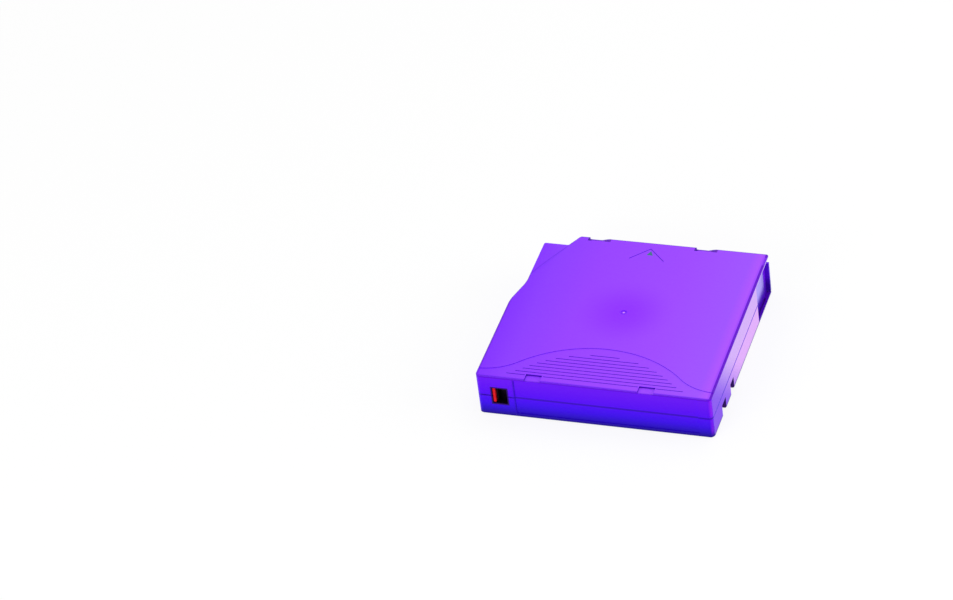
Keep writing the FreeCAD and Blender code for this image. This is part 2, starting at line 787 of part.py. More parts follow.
def make_upper_shell():
    body = new_body("upper_shell")
    top = s.case_height
    case_block(body, s.seam_height, top)
    dress(body, "Fillet", "top_edge", edges_at(body.Shape, top), s.top_edge_radius)
    cut(body, "cavity", lambda outline: outline.loop(inner_corners()), s.seam_height - past, roof_under)

    # marks on the roof
    cut(body, "grip_field", grip_field, top - s.grip_drop, top + past)
    grip_low = top - s.grip_drop - s.grip_line_depth
    cut(body, "grip_lines", grip_lines, grip_low, top + past)
    cut(body, "guide_corner", guide_corner, top - s.guide_drop, top + past)
    cut(body, "arrow", arrow, top - s.arrow_depth, top + past)
    cut(body, "gate_dimple", circles((plain(0), s.reel_y, s.gate_radius)), top - s.gate_depth, top + past)
    add(
        body,
        "gate_nub",
        circles((plain(0), s.reel_y, s.gate_radius / 3)),
        top - s.gate_depth - s.fit_gap,
        top - s.gate_depth / 3,
    )

    # catches
    half = s.catch_width / 2
    rear_ends = rear + s.catch_length
    cut(
        body,
        "rear_catches",
        boxes(
            (-s.catch_left - half, rear - past, -s.catch_left + half, rear_ends),
            (s.catch_right - half, rear - past, s.catch_right + half, rear_ends),
        ),
        top - s.catch_depth,
        top + past,
    )
    front_starts = front - s.front_catch_length
    for name, middle in (("front_catch_left", -s.catch_front_left), ("front_catch_right", s.catch_right)):
        cut_lengthwise(body, name, lambda outline: front_catch(outline, middle), front_starts, front + past)

    # rear face
    cut(body, "label", boxes(label_box), s.seam_height - past, s.label_high)
    cut(body, "window", boxes(window_box), s.seam_height - past, s.window_high)
    bay_blocks(body, s.seam_height, roof_under, slider_high + s.fit_gap, roof_under)

    # door: track along the roof, then everything below the sill's overhang
    cut(
        body,
        "door_track",
        boxes((track_back, track_rear, track_face, front + past)),
        s.seam_height - past,
        track_high,
    )
    cut(
        body,
        "door_space",
        boxes((track_back, door_zone, right + past, front + past)),
        s.seam_height - past,
        track_high,
    )
    pin = circles((hook_x, hook_rear_y, s.hook_radius))
    add(body, "spring_pin", pin, spring_high - s.door_wire, roof_under)

    # leader pin slot, open towards the door
    slot_half = s.pin_flange_radius + s.fit_gap
    cut(
        body,
        "pin_slot",
        boxes((pin_x, pin_y - slot_half, track_back, pin_y + slot_half)),
        roof_under - past,
        roof_under + s.pin_seat_depth,
    )
    cut(
        body,
        "pin_seat",
        circles((pin_x, pin_y, slot_half)),
        roof_under - past,
        roof_under + s.pin_seat_depth,
    )

    # reel guards, screw bosses, brake guide
    add(body, "guards", guard_ribs, s.seam_height, roof_under)
    add(body, "bosses", boss_circles(s.boss_radius), s.seam_height, roof_under)
    pilot_top = screw_seat + s.screw_length + s.screw_clearance
    cut(body, "pilots", boss_circles(s.screw_radius + 0.02), s.seam_height - past, pilot_top)
    ring = s.brake_spring_radius + s.brake_wire / 2 + s.spring_ring_gap
    ring_low = roof_under - s.spring_ring_height
    add(
        body,
        "spring_ring",
        circles((plain(0), s.reel_y, ring), (plain(0), s.reel_y, ring + s.guide_rib)),
        ring_low,
        roof_under,
    )
    rib_low = boss_top - s.guide_engagement
    thin, span = s.guide_rib / 2, s.guide_span / 2
    add(body, "guide_rib_x", boxes((-span, s.reel_y - thin, span, s.reel_y + thin)), rib_low, roof_under)
    add(body, "guide_rib_y", boxes((-thin, s.reel_y - span, thin, s.reel_y + span)), rib_low, roof_under)
    return body


# ---------------------------------------------------------------- lower shell
def notch_boxes(side, clearance):
    """Plans of the two gripper notches of one side, or of the walls round them."""
    notches = (
        (s.notch_rear_start, s.notch_rear_length),
        (s.notch_front_start, s.notch_front_length),
    )
    rows = []
    for start, length in notches:
        low = rear + start - clearance
        high = rear + start + length + clearance
        depth = half_width - s.notch_depth - clearance
        outer = half_width + past if value_of(clearance) == 0 else half_width - s.wall
        rows.append((depth, low, outer, high) if side > 0 else (-outer, low, -depth, high))
    return rows


def board_section(play):
    """The memory board seen along X, leaning back at 45 degrees from the floor to the rear wall."""
    half = (s.board_thickness + 2 * play) / math.sqrt(2)
    rise = (s.board_slant + 2 * play) / math.sqrt(2)
    foot_y = rear + s.board_foot
    foot_z = floor_top + s.board_thickness
    return (
        (foot_y, foot_z - play),
        (foot_y + half, foot_z - play + half),
        (foot_y + half - rise, foot_z - play + half + rise),
        (foot_y - rise, foot_z - play + rise),
    )


def board_posts(outline):
    """Wedge that carries one end of the memory board."""
    inside = rear + s.wall
    foot = rear + s.board_foot + s.board_post
    peak = s.seam_height - s.fit_gap * 2
    outline.loop(
        (
            (inside, floor_top),
            (foot, floor_top),
            (foot, floor_top + s.board_post),
            (inside + s.board_post * 1.4, peak),
            (inside, peak),
        )
    )


def make_lower_shell():
    body = new_body("lower_shell")
    case_block(body, plain(0), s.seam_height)
    dress(body, "Chamfer", "bottom_edge", edges_at(body.Shape, plain(0)), s.bottom_edge_bevel)
    seam_low = s.seam_height - s.seam_groove

    def seam_line(outline):
        """A frame whose inner edge is the case outline moved in by the groove."""
        far = s.case_width
        outline.box(-far, -far, far, far)
        g = s.seam_groove
        outline.loop(
            (
                (left + g, rear + g),
                (right - g, rear + g),
                (right - g, front - g),
                (step_left + g / 2, front - g),
                (step_left - s.step_run + g / 2, step_back - g),
                (side_in + g, step_back - g),
                (side_in + g, relief_high),
                (left + g, relief_low),
            )
        )

    cut(body, "seam", seam_line, seam_low, s.seam_height + past)
    cut(body, "cavity", lambda outline: outline.loop(inner_corners()), floor_top, s.seam_height + past)
    add(
        body,
        "opening_rim",
        circles((plain(0), s.reel_y, s.opening_radius + s.seat_width)),
        floor_top - s.fit_gap,
        seat_top,
    )
    cut(body, "opening", circles((plain(0), s.reel_y, s.opening_radius)), plain(-past), seat_top + past)

    # lip that lines the two shells up
    lip_top = s.seam_height + s.lip_height
    outer = s.wall + s.fit_gap
    inner = outer + s.lip_thickness
    lip_base = s.seam_height - s.lip_root
    lip_left = bay_right + s.bay_wall + s.lip_margin
    lip_right_rear = rear + s.board_foot + s.lip_ends
    lip_front_left = s.boss_radius + s.lip_margin - s.screw_front_left_x
    lip_front_right = s.screw_front_right_x - s.boss_radius - s.lip_margin
    add(
        body,
        "lip_roots",
        boxes(
            (lip_left, rear + s.wall, board_left - s.lip_ends, rear + inner),
            (left + s.wall, rear + s.label_left, left + inner, relief_low - s.lip_ends),
            (right - inner, lip_right_rear, right - s.wall, track_rear - s.lip_margin),
            (lip_front_left, front - inner, lip_front_right, front - s.wall),
        ),
        lip_base,
        s.seam_height,
    )
    add(
        body,
        "lips",
        boxes(
            (lip_left, rear + outer, board_left - s.lip_ends, rear + inner),
            (left + outer, rear + s.label_left, left + inner, relief_low - s.lip_ends),
            (right - inner, lip_right_rear, right - outer, track_rear - s.lip_margin),
            (lip_front_left, front - inner, lip_front_right, front - outer),
        ),
        s.seam_height,
        lip_top,
    )

    # rear face
    cut(body, "label", boxes(label_box), s.label_low, s.seam_height + past)
    cut(body, "window", boxes(window_box), s.window_low, s.seam_height + past)
    bay_blocks(body, floor_top, s.seam_height, floor_top, slider_low - s.fit_gap)

    # gripper notches in both sides
    for side, name in ((1, "right"), (-1, "left")):
        wall_boxes = notch_boxes(side, s.notch_wall)
        hull = (
            wall_boxes[0][0],
            wall_boxes[0][1],
            wall_boxes[0][2],
            wall_boxes[1][3],
        )
        add(body, f"notch_walls_{name}", boxes(hull), floor_top, s.notch_height + s.notch_wall)
        cut(body, f"notches_{name}", boxes(*notch_boxes(side, plain(0))), plain(-past), s.notch_height)

    # door: sill and track
    cut(
        body,
        "door_track",
        boxes((track_back, track_rear, track_face, front + past)),
        track_low,
        s.seam_height + past,
    )
    cut(
        body,
        "door_space",
        boxes((track_back, door_zone, right + past, front + past)),
        track_low,
        s.seam_height + past,
    )
    cut(
        body,
        "door_channel",
        boxes(
            (
                track_face + s.fit_gap,
                door_zone + s.fit_gap,
                right - s.bottom_edge_bevel - s.channel_lip,
                door_zone + s.channel_length,
            )
        ),
        track_low - s.channel_depth,
        track_low + past,
    )
    add(
        body,
        "door_rail",
        boxes((track_back - s.rail_width, track_rear, track_back, door_zone - s.door_overlap / 2)),
        floor_top,
        floor_top + s.rail_height,
    )

    # datum holes
    long_half = s.datum_slot / 2
    tube = s.datum_radius + s.datum_wall
    datum_top = s.datum_depth + s.datum_wall
    add(
        body,
        "datum_bosses",
        circles((-s.datum_left_x, s.datum_left_y, tube), (s.datum_right_x, s.datum_right_y, tube)),
        floor_top,
        datum_top,
    )
    cut(
        body,
        "datum_round",
        circles((-s.datum_left_x, s.datum_left_y, s.datum_radius)),
        plain(-past),
        s.datum_depth,
    )
    x, y = s.datum_right_x, s.datum_right_y
    slot = s.datum_radius
    cut(body, "datum_long_left", circles((x - long_half, y, slot)), plain(-past), s.datum_depth)
    cut(body, "datum_long_right", circles((x + long_half, y, slot)), plain(-past), s.datum_depth)
    straight = boxes((x - long_half, y - slot, x + long_half, y + slot))
    cut(body, "datum_long", straight, plain(-past), s.datum_depth)

    # leader pin slot and the posts that hold its leaf spring
    slot_half = s.pin_flange_radius + s.fit_gap
    pin_floor = floor_top - s.pin_seat_depth
    cut(
        body,
        "pin_slot",
        boxes((pin_x, pin_y - slot_half, track_back, pin_y + slot_half)),
        pin_floor,
        floor_top + past,
    )
    cut(body, "pin_seat", circles((pin_x, pin_y, slot_half)), pin_floor, floor_top + past)
    leaf_front = front - s.wall - s.fit_gap
    leaf_back = leaf_front - s.leaf_thickness - s.fit_gap
    post_left = pin_x - s.leaf_left + s.leaf_post / 2
    post_right = pin_x - s.leaf_bend - 2 * s.leaf_post
    add(
        body,
        "leaf_posts",
        boxes(
            (post_left, leaf_back - s.leaf_post, post_left + s.leaf_post, leaf_back),
            (post_right, leaf_back - s.leaf_post, post_right + s.leaf_post, leaf_back),
        ),
        floor_top,
        s.seam_height,
    )

    # memory board holder
    board_right = board_left + s.board_length
    for name, low, high in (
        ("board_post_left", board_left - s.board_post + s.board_grip, board_left + s.board_grip),
        ("board_post_right", board_right - s.board_grip, board_right + s.board_post - s.board_grip),
    ):
        add_across(body, name, board_posts, low, high)
    cut_across(
        body,
        "board_slots",
        lambda outline: outline.loop(board_section(s.fit_gap)),
        board_left - s.fit_gap,
        board_right + s.fit_gap,
    )

    # reel guards and screw bosses
    add(body, "guards", guard_ribs, floor_top, s.seam_height)
    add(body, "bosses", boss_circles(s.boss_radius), floor_top, s.seam_height)
    cut(
        body,
        "screw_holes",
        boss_circles(s.screw_radius + s.screw_clearance),
        plain(-past),
        s.seam_height + past,
    )
    cut(
        body,
        "screw_recesses",
        boss_circles(s.screw_head_radius + s.screw_clearance),
        plain(-past),
        screw_seat,
    )
    return body


# ---------------------------------------------------------------- case screws
def make_case_screws():
    """Four pan-head screws that come up through the lower shell, as one group of separate solids."""
    screws = []
    for number, (x, y) in enumerate(screw_places, start=1):
        shank = doc.addObject("Part::Cylinder", f"screw_shank_{number}")
        head = doc.addObject("Part::Cylinder", f"screw_head_{number}")
        recess = doc.addObject("Part::Prism", f"screw_recess_{number}")
        for item, field, size in (
            (shank, "Radius", s.screw_radius),
            (shank, "Height", s.screw_length),
            (head, "Radius", s.screw_head_radius),
            (head, "Height", s.screw_head_height),
            (recess, "Circumradius", s.screw_socket),
            (recess, "Height", s.screw_head_height * 0.7),
            (shank, "Placement.Base.z", screw_seat),
            (head, "Placement.Base.z", screw_seat - s.screw_head_height),
            (recess, "Placement.Base.z", screw_seat - s.screw_head_height),
        ):
            item.setExpression(field, text_of(size))
        for item in (shank, head, recess):
            item.setExpression("Placement.Base.x", text_of(x))
            item.setExpression("Placement.Base.y", text_of(y))
        whole = doc.addObject("Part::Fuse", f"screw_{number}")
        whole.Base, whole.Tool = shank, head
        driven = doc.addObject("Part::Cut", f"screw_driven_{number}")
        driven.Base, driven.Tool = whole, recess
        screws.append(driven)
    group = doc.addObject("Part::Compound", "case_screws")
    group.Links = screws
    group.Label = "case_screws"
    return group


# ---------------------------------------------------------------- door
def make_sliding_door():
    """Plate in its track, with a lug outside that a drive pushes on and a stop rib inside."""
    body = new_body("sliding_door")
    low, high = track_low + s.fit_gap, track_high - s.fit_gap
    add(body, "plate", boxes((door_back, door_rear, door_face, door_front)), low, high)
    lug_front = door_front
    add(
        body,
        "lug",
        boxes((door_face, lug_front - s.door_lug_width, right - s.fit_gap, lug_front)),
        s.door_lug_low,
        s.door_lug_high,
    )
    stop_front = front - s.wall - s.fit_gap
    add(
        body,
        "stop",
        boxes((door_back - s.door_stop_depth, stop_front - s.door_stop_width, door_back, stop_front)),
        pin_low + s.pin_flange_height + s.wall,
        pin_high - s.pin_flange_height - s.fit_gap,
    )
    tab_high = roof_under - s.fit_gap
    tab_left = hook_x - s.hook_radius - s.fit_gap
    tab_end = hook_front_y + s.hook_radius + s.fit_gap
    add(body, "spring_tab", boxes((tab_left, door_rear, door_back, tab_end)), tab_high - s.hook_tab, tab_high)
    pin = circles((hook_x, hook_front_y, s.hook_radius))
    add(body, "spring_pin", pin, spring_low - s.door_wire / 2 - s.fit_gap, tab_high - s.hook_tab)
    return body


def bent_wire(name, points, wire, middle):
    """Wire through points that run nearly level, as straight stretches between many-sided sections."""
    rings = []
    for before, point, after in zip([points[0]] + points[:-1], points, points[1:] + [points[-1]]):
        along = (after - before).normalize()
        over = (Vector(0, 0, 1) - along * along.z).normalize() * (wire / 2)
        beside = along.cross(over)
        turns = [2 * math.pi * side / WIRE_SIDES for side in range(WIRE_SIDES)]
        corners = [point + over * math.cos(turn) + beside * math.sin(turn) for turn in turns]
        rings.append(Part.makePolygon(corners + corners[:1]))
    made = doc.addObject("Part::Feature", name)
    made.Shape = Part.makeLoft(rings, True, True)
    made.Placement = Placement(middle, Rotation())
    made.Label = name
    return made


def coil_points(radius, rise, start, turns):
    """Points on a rising coil about Z that starts at an angle in degrees."""
    steps = round(turns * RINGS_PER_TURN)
    out = []
    for step in range(steps + 1):
        angle = math.radians(start + 360 * turns * step / steps)
        out.append(Vector(radius * math.cos(angle), radius * math.sin(angle), rise * step / steps))
    return out


def make_door_spring():
    """V-shaped torsion spring that lies flat between the reel and the roof.  Its coil is free, and its eyes
    hang on a pin of the roof and on a pin of the door, which they push apart."""
    radius, arm, eye = s.door_coil_radius.value, s.door_arm.value, s.door_eye.value
    half, offset = s.hook_behind.value / 2, radius - eye
    inset = math.sqrt(arm * arm + offset * offset - half * half)
    way = math.atan2(half, inset) - math.atan2(offset, arm)
    first = math.degrees(way) + 90
    coil = coil_points(radius, s.door_coil_rise.value, first, 3 - first / 180)
    ends = []
    for side, root_point in ((1, coil[0]), (-1, coil[-1])):
        hook = root_point + Vector(math.cos(way), side * math.sin(way), 0) * arm
        hook = hook + Vector(math.sin(way), -side * math.cos(way), 0) * eye
        loop = []
        for step in range(EYE_RINGS + 1):
            angle = way + math.pi / 2 - math.radians(EYE_TURN * step / EYE_RINGS)
            loop.append(hook + Vector(math.cos(angle), side * math.sin(angle), 0) * eye)
        ends.append(loop)
    middle = Vector(hook_x.value - inset, hook_front_y.value - half, spring_low.value)
    return bent_wire("door_spring", ends[0][::-1] + coil + ends[1], s.door_wire.value, middle)


# ---------------------------------------------------------------- reel
def face_teeth(body, name, count, inner, outer, root_level, tip_level, root_width, tip_width):
    """A ring of radial teeth on a flat face.  Each is a straight rib that narrows from its root to its tip,
    and the first lies along X."""

    def section(outline):
        wide, narrow = root_width / 2, tip_width / 2
        outline.loop(((-wide, root_level), (wide, root_level), (narrow, tip_level), (-narrow, tip_level)))

    tooth = add_across(body, name, section, inner, outer)
    doc.recompute()
    return ring_pattern(body, f"{name}s", tooth, count)


def shift_to_axis(body):
    """Carry a body that is drawn round the origin to the reel's axis."""
    body.setExpression("Placement.Base.y", s.reel_y.text)
    return body


def turn_to_brake(body):
    """Turn a body of the reel by half a tooth, so that the brake's teeth stand in the hub's gaps."""
    body.Placement = Placement(Vector(0, 0, 0), Rotation(Vector(0, 0, 1), 180 / s.brake_teeth.value))
    body.setExpression("Placement.Rotation.Angle", text_of(180 / s.brake_teeth))
    return shift_to_axis(body)


def revolve(body, name, corners):
    """A ring turned about the Z axis from its half section in X and Z."""
    outline = Outline(body, f"{name}_section", plain(0), "XZ_Plane")
    outline.loop(corners)
    made = body.newObject("PartDesign::Revolution", name)
    made.Profile = outline.sketch
    made.ReferenceAxis = (outline.sketch, ["V_Axis"])
    made.Angle = 360
    doc.recompute()
    return made


def leg_boxes(play):
    """Windows or legs on the leg circle, as a plan at the first of three places."""
    half = s.leg_width / 2 + play
    inner = s.leg_circle - s.leg_depth / 2 - play
    outer = s.leg_circle + s.leg_depth / 2 + play
    return boxes((inner, -half, outer, half))


def make_reel_hub():
    """Hub, bottom web and lower flange in one moulding, with drive teeth below and brake teeth above."""
    body = new_body("reel_hub")
    bore = s.hub_radius - s.hub_wall
    shoulder = s.hub_radius + s.flange_shoulder
    thin = s.flange_thickness - s.flange_rim
    section = (
        (s.hub_bore_radius, web_low),
        (bore - s.hub_wall, web_low),
        (bore - s.hub_wall, flange_low),
        (shoulder, flange_low),
        (shoulder, flange_low + thin),
        (s.flange_radius, flange_low + thin),
        (s.flange_radius, web_low),
        (s.hub_radius, web_low),
        (s.hub_radius, flange_high),
        (bore, flange_high),
        (bore, web_top),
        (s.hub_bore_radius, web_top),
    )
    revolve(body, "turned", section)
    gear_low = web_low - s.gear_height
    face_teeth(
        body,
        "drive_tooth",
        s.gear_teeth,
        s.gear_inner,
        s.gear_outer,
        web_low,
        gear_low,
        s.tooth_root,
        s.tooth_tip,
    )
    face_teeth(
        body,
        "brake_tooth",
        s.brake_teeth,
        s.brake_inner,
        s.brake_outer,
        web_top,
        web_top + s.brake_height,
        s.brake_root,
        s.brake_tip,
    )
    rim = circles((plain(0), plain(0), s.plate_outer), (plain(0), plain(0), s.plate_outer + s.plate_rim))
    add(body, "plate_rim", rim, web_low - s.plate_thickness, web_low)
    window = cut(body, "leg_window", leg_boxes(s.leg_play), gear_low - past, web_top + past)
    doc.recompute()
    ring_pattern(body, "leg_windows", window, plain(3))
    return turn_to_brake(body)


def make_reel_upper_flange():
    """Upper flange: a thin disc with a thicker collar round the hub."""
    body = new_body("reel_upper_flange")
    inner, shoulder = s.hub_radius - s.hub_wall, s.hub_radius + s.flange_shoulder
    rim_top = flange_high + s.flange_rim
    section = (
        (inner, flange_high),
        (s.flange_radius, flange_high),
        (s.flange_radius, rim_top),
        (shoulder, rim_top),
        (shoulder, flange_high + s.flange_thickness),
        (inner, flange_high + s.flange_thickness),
    )
    revolve(body, "turned", section)
    return shift_to_axis(body)


def make_drive_plate():
    """Flat steel ring that the drive's magnet holds, moulded into the hub's rim under the web."""
    body = new_body("drive_plate")
    low, high = web_low - s.plate_thickness, web_low
    add(
        body,
        "ring",
        circles((plain(0), plain(0), s.plate_outer), (plain(0), plain(0), s.plate_inner)),
        low,
        high,
    )
    return shift_to_axis(body)


def make_tape_pack():
    """The wound tape: all its turns as one ring."""
    body = new_body("tape_pack")
    rings = circles(
        (plain(0), plain(0), s.tape_radius),
        (plain(0), plain(0), s.hub_radius),
    )
    add(body, "turns", rings, tape_low, tape_low + s.tape_width)
    return shift_to_axis(body)


# ---------------------------------------------------------------- brake
def make_brake_disc():
    """Disc with face teeth below, a nub that the release plate pushes, and a slotted boss above."""
    body = new_body("brake_disc")
    section = (
        (plain(0), release_top + s.fit_gap),
        (s.release_hub_radius * 0.6, brake_under),
        (s.brake_disc_radius, brake_under),
        (s.brake_disc_radius, brake_top),
        (s.brake_boss_radius, brake_top),
        (s.brake_boss_radius, boss_top),
        (plain(0), boss_top),
    )
    revolve(body, "turned", section)
    face_teeth(
        body,
        "tooth",
        s.brake_teeth,
        s.brake_inner,
        s.brake_outer,
        brake_under,
        brake_tip_low,
        s.brake_root,
        s.brake_tip,
    )
    half, span = s.guide_rib / 2 + s.guide_play, s.guide_span / 2 + s.guide_play
    slot_low = boss_top - s.guide_engagement - s.brake_lift - s.fit_gap * 3
    cut(body, "slot_x", boxes((-span, -half, span, half)), slot_low, boss_top + past)
    cut(body, "slot_y", boxes((-half, -span, half, span)), slot_low, boss_top + past)
    return shift_to_axis(body)


def make_brake_spring():
    """Compression spring between the brake disc and the roof, with its ends against both."""
    low = (brake_top + s.brake_wire / 2 + s.fit_gap / 2).value
    high = (roof_under - s.brake_wire / 2 - s.fit_gap / 2).value
    points = coil_points(s.brake_spring_radius.value, high - low, 0, s.brake_spring_turns.value)
    return bent_wire("brake_spring", points, s.brake_wire.value, Vector(0, s.reel_y.value, low))


def make_release_plate():
    """Three arms under the brake, each with a leg that reaches down through the web to the drive teeth."""
    body = new_body("release_plate")
    add(body, "middle", circles((plain(0), plain(0), s.release_hub_radius)), release_low, release_top)
    half = s.release_arm_width / 2
    outer = s.leg_circle + s.leg_depth / 2
    arm = add(body, "arm", boxes((plain(0), -half, outer, half)), release_low, release_top)
    leg_low = web_low - s.gear_height + s.fit_gap * 2
    leg = add(body, "leg", leg_boxes(plain(0)), leg_low, release_low)
    doc.recompute()
    arms = ring_pattern(body, "arms", arm, plain(3))
    arms.Originals = [arm, leg]
    return turn_to_brake(body)


# ---------------------------------------------------------------- tape leader and its pin
def leader_line():
    """The leader tape in plan, as plain numbers: the point where it leaves the wound tape, and the point
    where it meets the pin's clamp."""
    reach = (s.tape_radius + s.leader_gap).value
    away_x, away_y = pin_x.value, (pin_y - s.reel_y).value
    pull = (s.pin_radius + s.clamp_thickness + s.leader_thickness).value
    distance = math.hypot(away_x, away_y)
    bearing = math.atan2(away_y, away_x)
    swing = math.acos((reach - pull) / distance)
    normal = Vector(math.cos(bearing - swing), math.sin(bearing - swing), 0)
    start = Vector(0, s.reel_y.value, 0) + normal * reach
    end = Vector(pin_x.value, pin_y.value, 0) + normal * pull
    return start, end, normal


def make_tape_leader():
    start, end, normal = leader_line()
    thick = s.leader_thickness.value
    corners = [start, end, end + normal * thick, start + normal * thick]
    lift = Vector(0, 0, tape_low.value)
    face = Part.Face(Part.makePolygon([point + lift for point in corners + corners[:1]]))
    strip = doc.addObject("Part::Feature", "tape_leader")
    strip.Shape = face.extrude(Vector(0, 0, s.tape_width.value))
    strip.Placement = Placement(Vector(0, 0, 0), Rotation())
    strip.Label = "tape_leader"
    return strip


def make_leader_pin():
    body = new_body("leader_pin")
    flange_low_top = pin_low + s.pin_flange_height
    flange_high_low = pin_high - s.pin_flange_height
    bevel = s.pin_flange_height / 4
    section = (
        (plain(0), pin_low),
        (s.pin_flange_radius - bevel, pin_low),
        (s.pin_flange_radius, pin_low + bevel),
        (s.pin_flange_radius, flange_low_top),
        (s.pin_radius, flange_low_top),
        (s.pin_radius, flange_high_low),
        (s.pin_flange_radius, flange_high_low),
        (s.pin_flange_radius, pin_high - bevel),
        (s.pin_flange_radius - bevel, pin_high),
        (plain(0), pin_high),
    )
    revolve(body, "turned", section)
    body.setExpression("Placement.Base.x", pin_x.text)
    body.setExpression("Placement.Base.y", pin_y.text)
    return body


def make_leader_clamp():
    """C-shaped clip that snaps over the pin and holds the end of the tape."""
    body = new_body("leader_clamp")
    open_half = s.clamp_opening.value / 2
    inner = s.pin_radius + s.fit_gap / 5
    corners = band(plain(0), plain(0), inner, s.clamp_thickness, 180 + open_half - 360, 180 - open_half)
    height = s.tape_width
    add(body, "clip", lambda outline: outline.loop(corners), tape_low, tape_low + height)
    body.setExpression("Placement.Base.x", pin_x.text)
    body.setExpression("Placement.Base.y", pin_y.text)
    return body


def make_pin_retainer_spring():
    """Leaf spring against the front wall.  Two fingers reach round the pin's flanges."""
    body = new_body("pin_retainer_spring")
    leaf_front = front - s.wall - s.fit_gap
    leaf_back = leaf_front - s.leaf_thickness
    low, high = floor_top + s.fit_gap, roof_under - s.fit_gap
    add(body, "leaf", boxes((pin_x - s.leaf_left, leaf_back, pin_x - s.leaf_bend, leaf_front)), low, high)
    bend_x = pin_x - s.leaf_bend
    corner_x, corner_y = pin_x + s.leaf_reach_x, pin_y + s.leaf_reach_y
    hold_x = pin_x + s.pin_flange_radius + s.fit_gap
    hold_y = pin_y + s.pin_flange_radius * 0.35
    thick = s.leaf_thickness

    def finger(outline):
        outline.loop(
            (
                (bend_x, leaf_back),
                (corner_x - thick * 1.25, corner_y),
                (hold_x, hold_y),
                (hold_x + thick, hold_y),
                (corner_x, corner_y + thick * 0.4),
                (bend_x + thick / 4, leaf_front),
                (bend_x, leaf_front),
            )
        )

    add(body, "finger_low", finger, low, low + s.leaf_finger)
    add(body, "finger_high", finger, high - s.leaf_finger, high)
    return body


# ---------------------------------------------------------------- write protect slider
def make_write_protect_slider():
    """Sliding tab behind the rear wall, with upright finger ribs on the end that shows in the window."""
    body = new_body("write_protect_slider")
    start = window_left + (s.window_width - s.slider_width) - s.slider_travel
    end = start + s.slider_width
    back = bay_back - s.fit_gap
    face = back - s.slider_thickness
    add(body, "tab", boxes((start, face + s.slider_rib, end, back)), slider_low, slider_high)
    ribs = []
    place = end
    while (place - s.slider_rib_pitch).value > (start + s.slider_rib_pitch * 2).value:
        ribs.append((place - s.slider_rib_pitch / 2, face, place, face + s.slider_rib))
        place = place - s.slider_rib_pitch
    add(body, "ribs", boxes(*ribs), slider_low, slider_high)
    return body


# ---------------------------------------------------------------- cartridge memory
def board_frame():
    """Placement of the memory board: X along the case, Y up its slope, Z out of its upper face."""
    foot = Vector(board_left.value, (rear + s.board_foot).value, (floor_top + s.board_thickness).value)
    return Placement(foot, Rotation(Vector(1, 0, 0), 135))


def make_memory():
    """Board, chip and printed coil, all leaning back at 45 degrees."""
    pieces = []
    frame = board_frame()

    def slab(name, x_low, up_low, x_high, up_high, z_low, thickness):
        box = doc.addObject("Part::Box", name)
        box.setExpression("Length", text_of(x_high - x_low))
        box.setExpression("Width", text_of(up_high - up_low))
        box.setExpression("Height", text_of(thickness))
        corner = Vector(value_of(x_low), value_of(up_low), value_of(z_low))
        box.Placement = frame.multiply(Placement(corner, Rotation()))
        return box

    length, slant, thick = s.board_length, s.board_slant, s.board_thickness
    board = slab("memory_board", plain(0), plain(0), length, slant, -thick, thick)
    board.Label = "memory_board"
    pieces.append(board)

    edge, coil = s.antenna_margin, s.antenna_width
    film = s.antenna_thickness
    grip = s.board_grip
    outer = slab("coil_outer", edge + grip, edge, length - edge - grip, slant - edge, plain(0), film)
    inner = slab(
        "coil_inner",
        edge + grip + coil,
        edge + coil,
        length - edge - grip - coil,
        slant - edge - coil,
        -film,
        film * 3,
    )
    antenna = doc.addObject("Part::Cut", "memory_antenna")
    antenna.Base, antenna.Tool = outer, inner
    antenna.Label = "memory_antenna"
    pieces.append(antenna)

    half = s.chip_size / 2
    chip = slab(
        "memory_chip",
        length / 2 - half,
        slant / 2 - half,
        length / 2 + half,
        slant / 2 + half,
        plain(0),
        s.chip_thickness,
    )
    chip.Label = "memory_chip"
    pieces.append(chip)
    return pieces


# ---------------------------------------------------------------- build, check, write
pieces = [
    make_upper_shell(),
    make_lower_shell(),
    make_case_screws(),
    make_sliding_door(),
    make_door_spring(),
    make_reel_hub(),
    make_reel_upper_flange(),
    make_drive_plate(),
    make_tape_pack(),
    make_brake_disc(),
    make_brake_spring(),
    make_release_plate(),
    make_tape_leader(),
    make_leader_pin(),
    make_leader_clamp(),
    make_pin_retainer_spring(),
    make_write_protect_slider(),
    *make_memory(),
]
for piece in pieces:
    if piece.TypeId == "PartDesign::Body":
        piece.Tip.Refine = True
doc.recompute()

for item in doc.Objects:
    if "Invalid" in item.State or "Error" in item.State:
        raise RuntimeError(f"{item.Name} failed: {item.State}")
os.makedirs("parts", exist_ok=True)
for piece in pieces:
    shape = piece.Shape
    if shape.isNull() or not shape.isValid():
        raise RuntimeError(f"{piece.Label} has no valid shape")
    if not shape.Solids:
        raise RuntimeError(f"{piece.Label} has no solid")
    shape.exportStep(f"parts/{piece.Label}.step")
    box = shape.BoundBox
    print(
        f"{piece.Label:22s} solids {len(shape.Solids)}  volume {shape.Volume:9.1f}  "
        f"x {box.XMin:6.1f} {box.XMax:6.1f}  y {box.YMin:6.1f} {box.YMax:6.1f}  "
        f"z {box.ZMin:5.2f} {box.ZMax:5.2f}"
    )
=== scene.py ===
import json
import math

import bpy
import numpy as np
from mathutils import Matrix, Vector


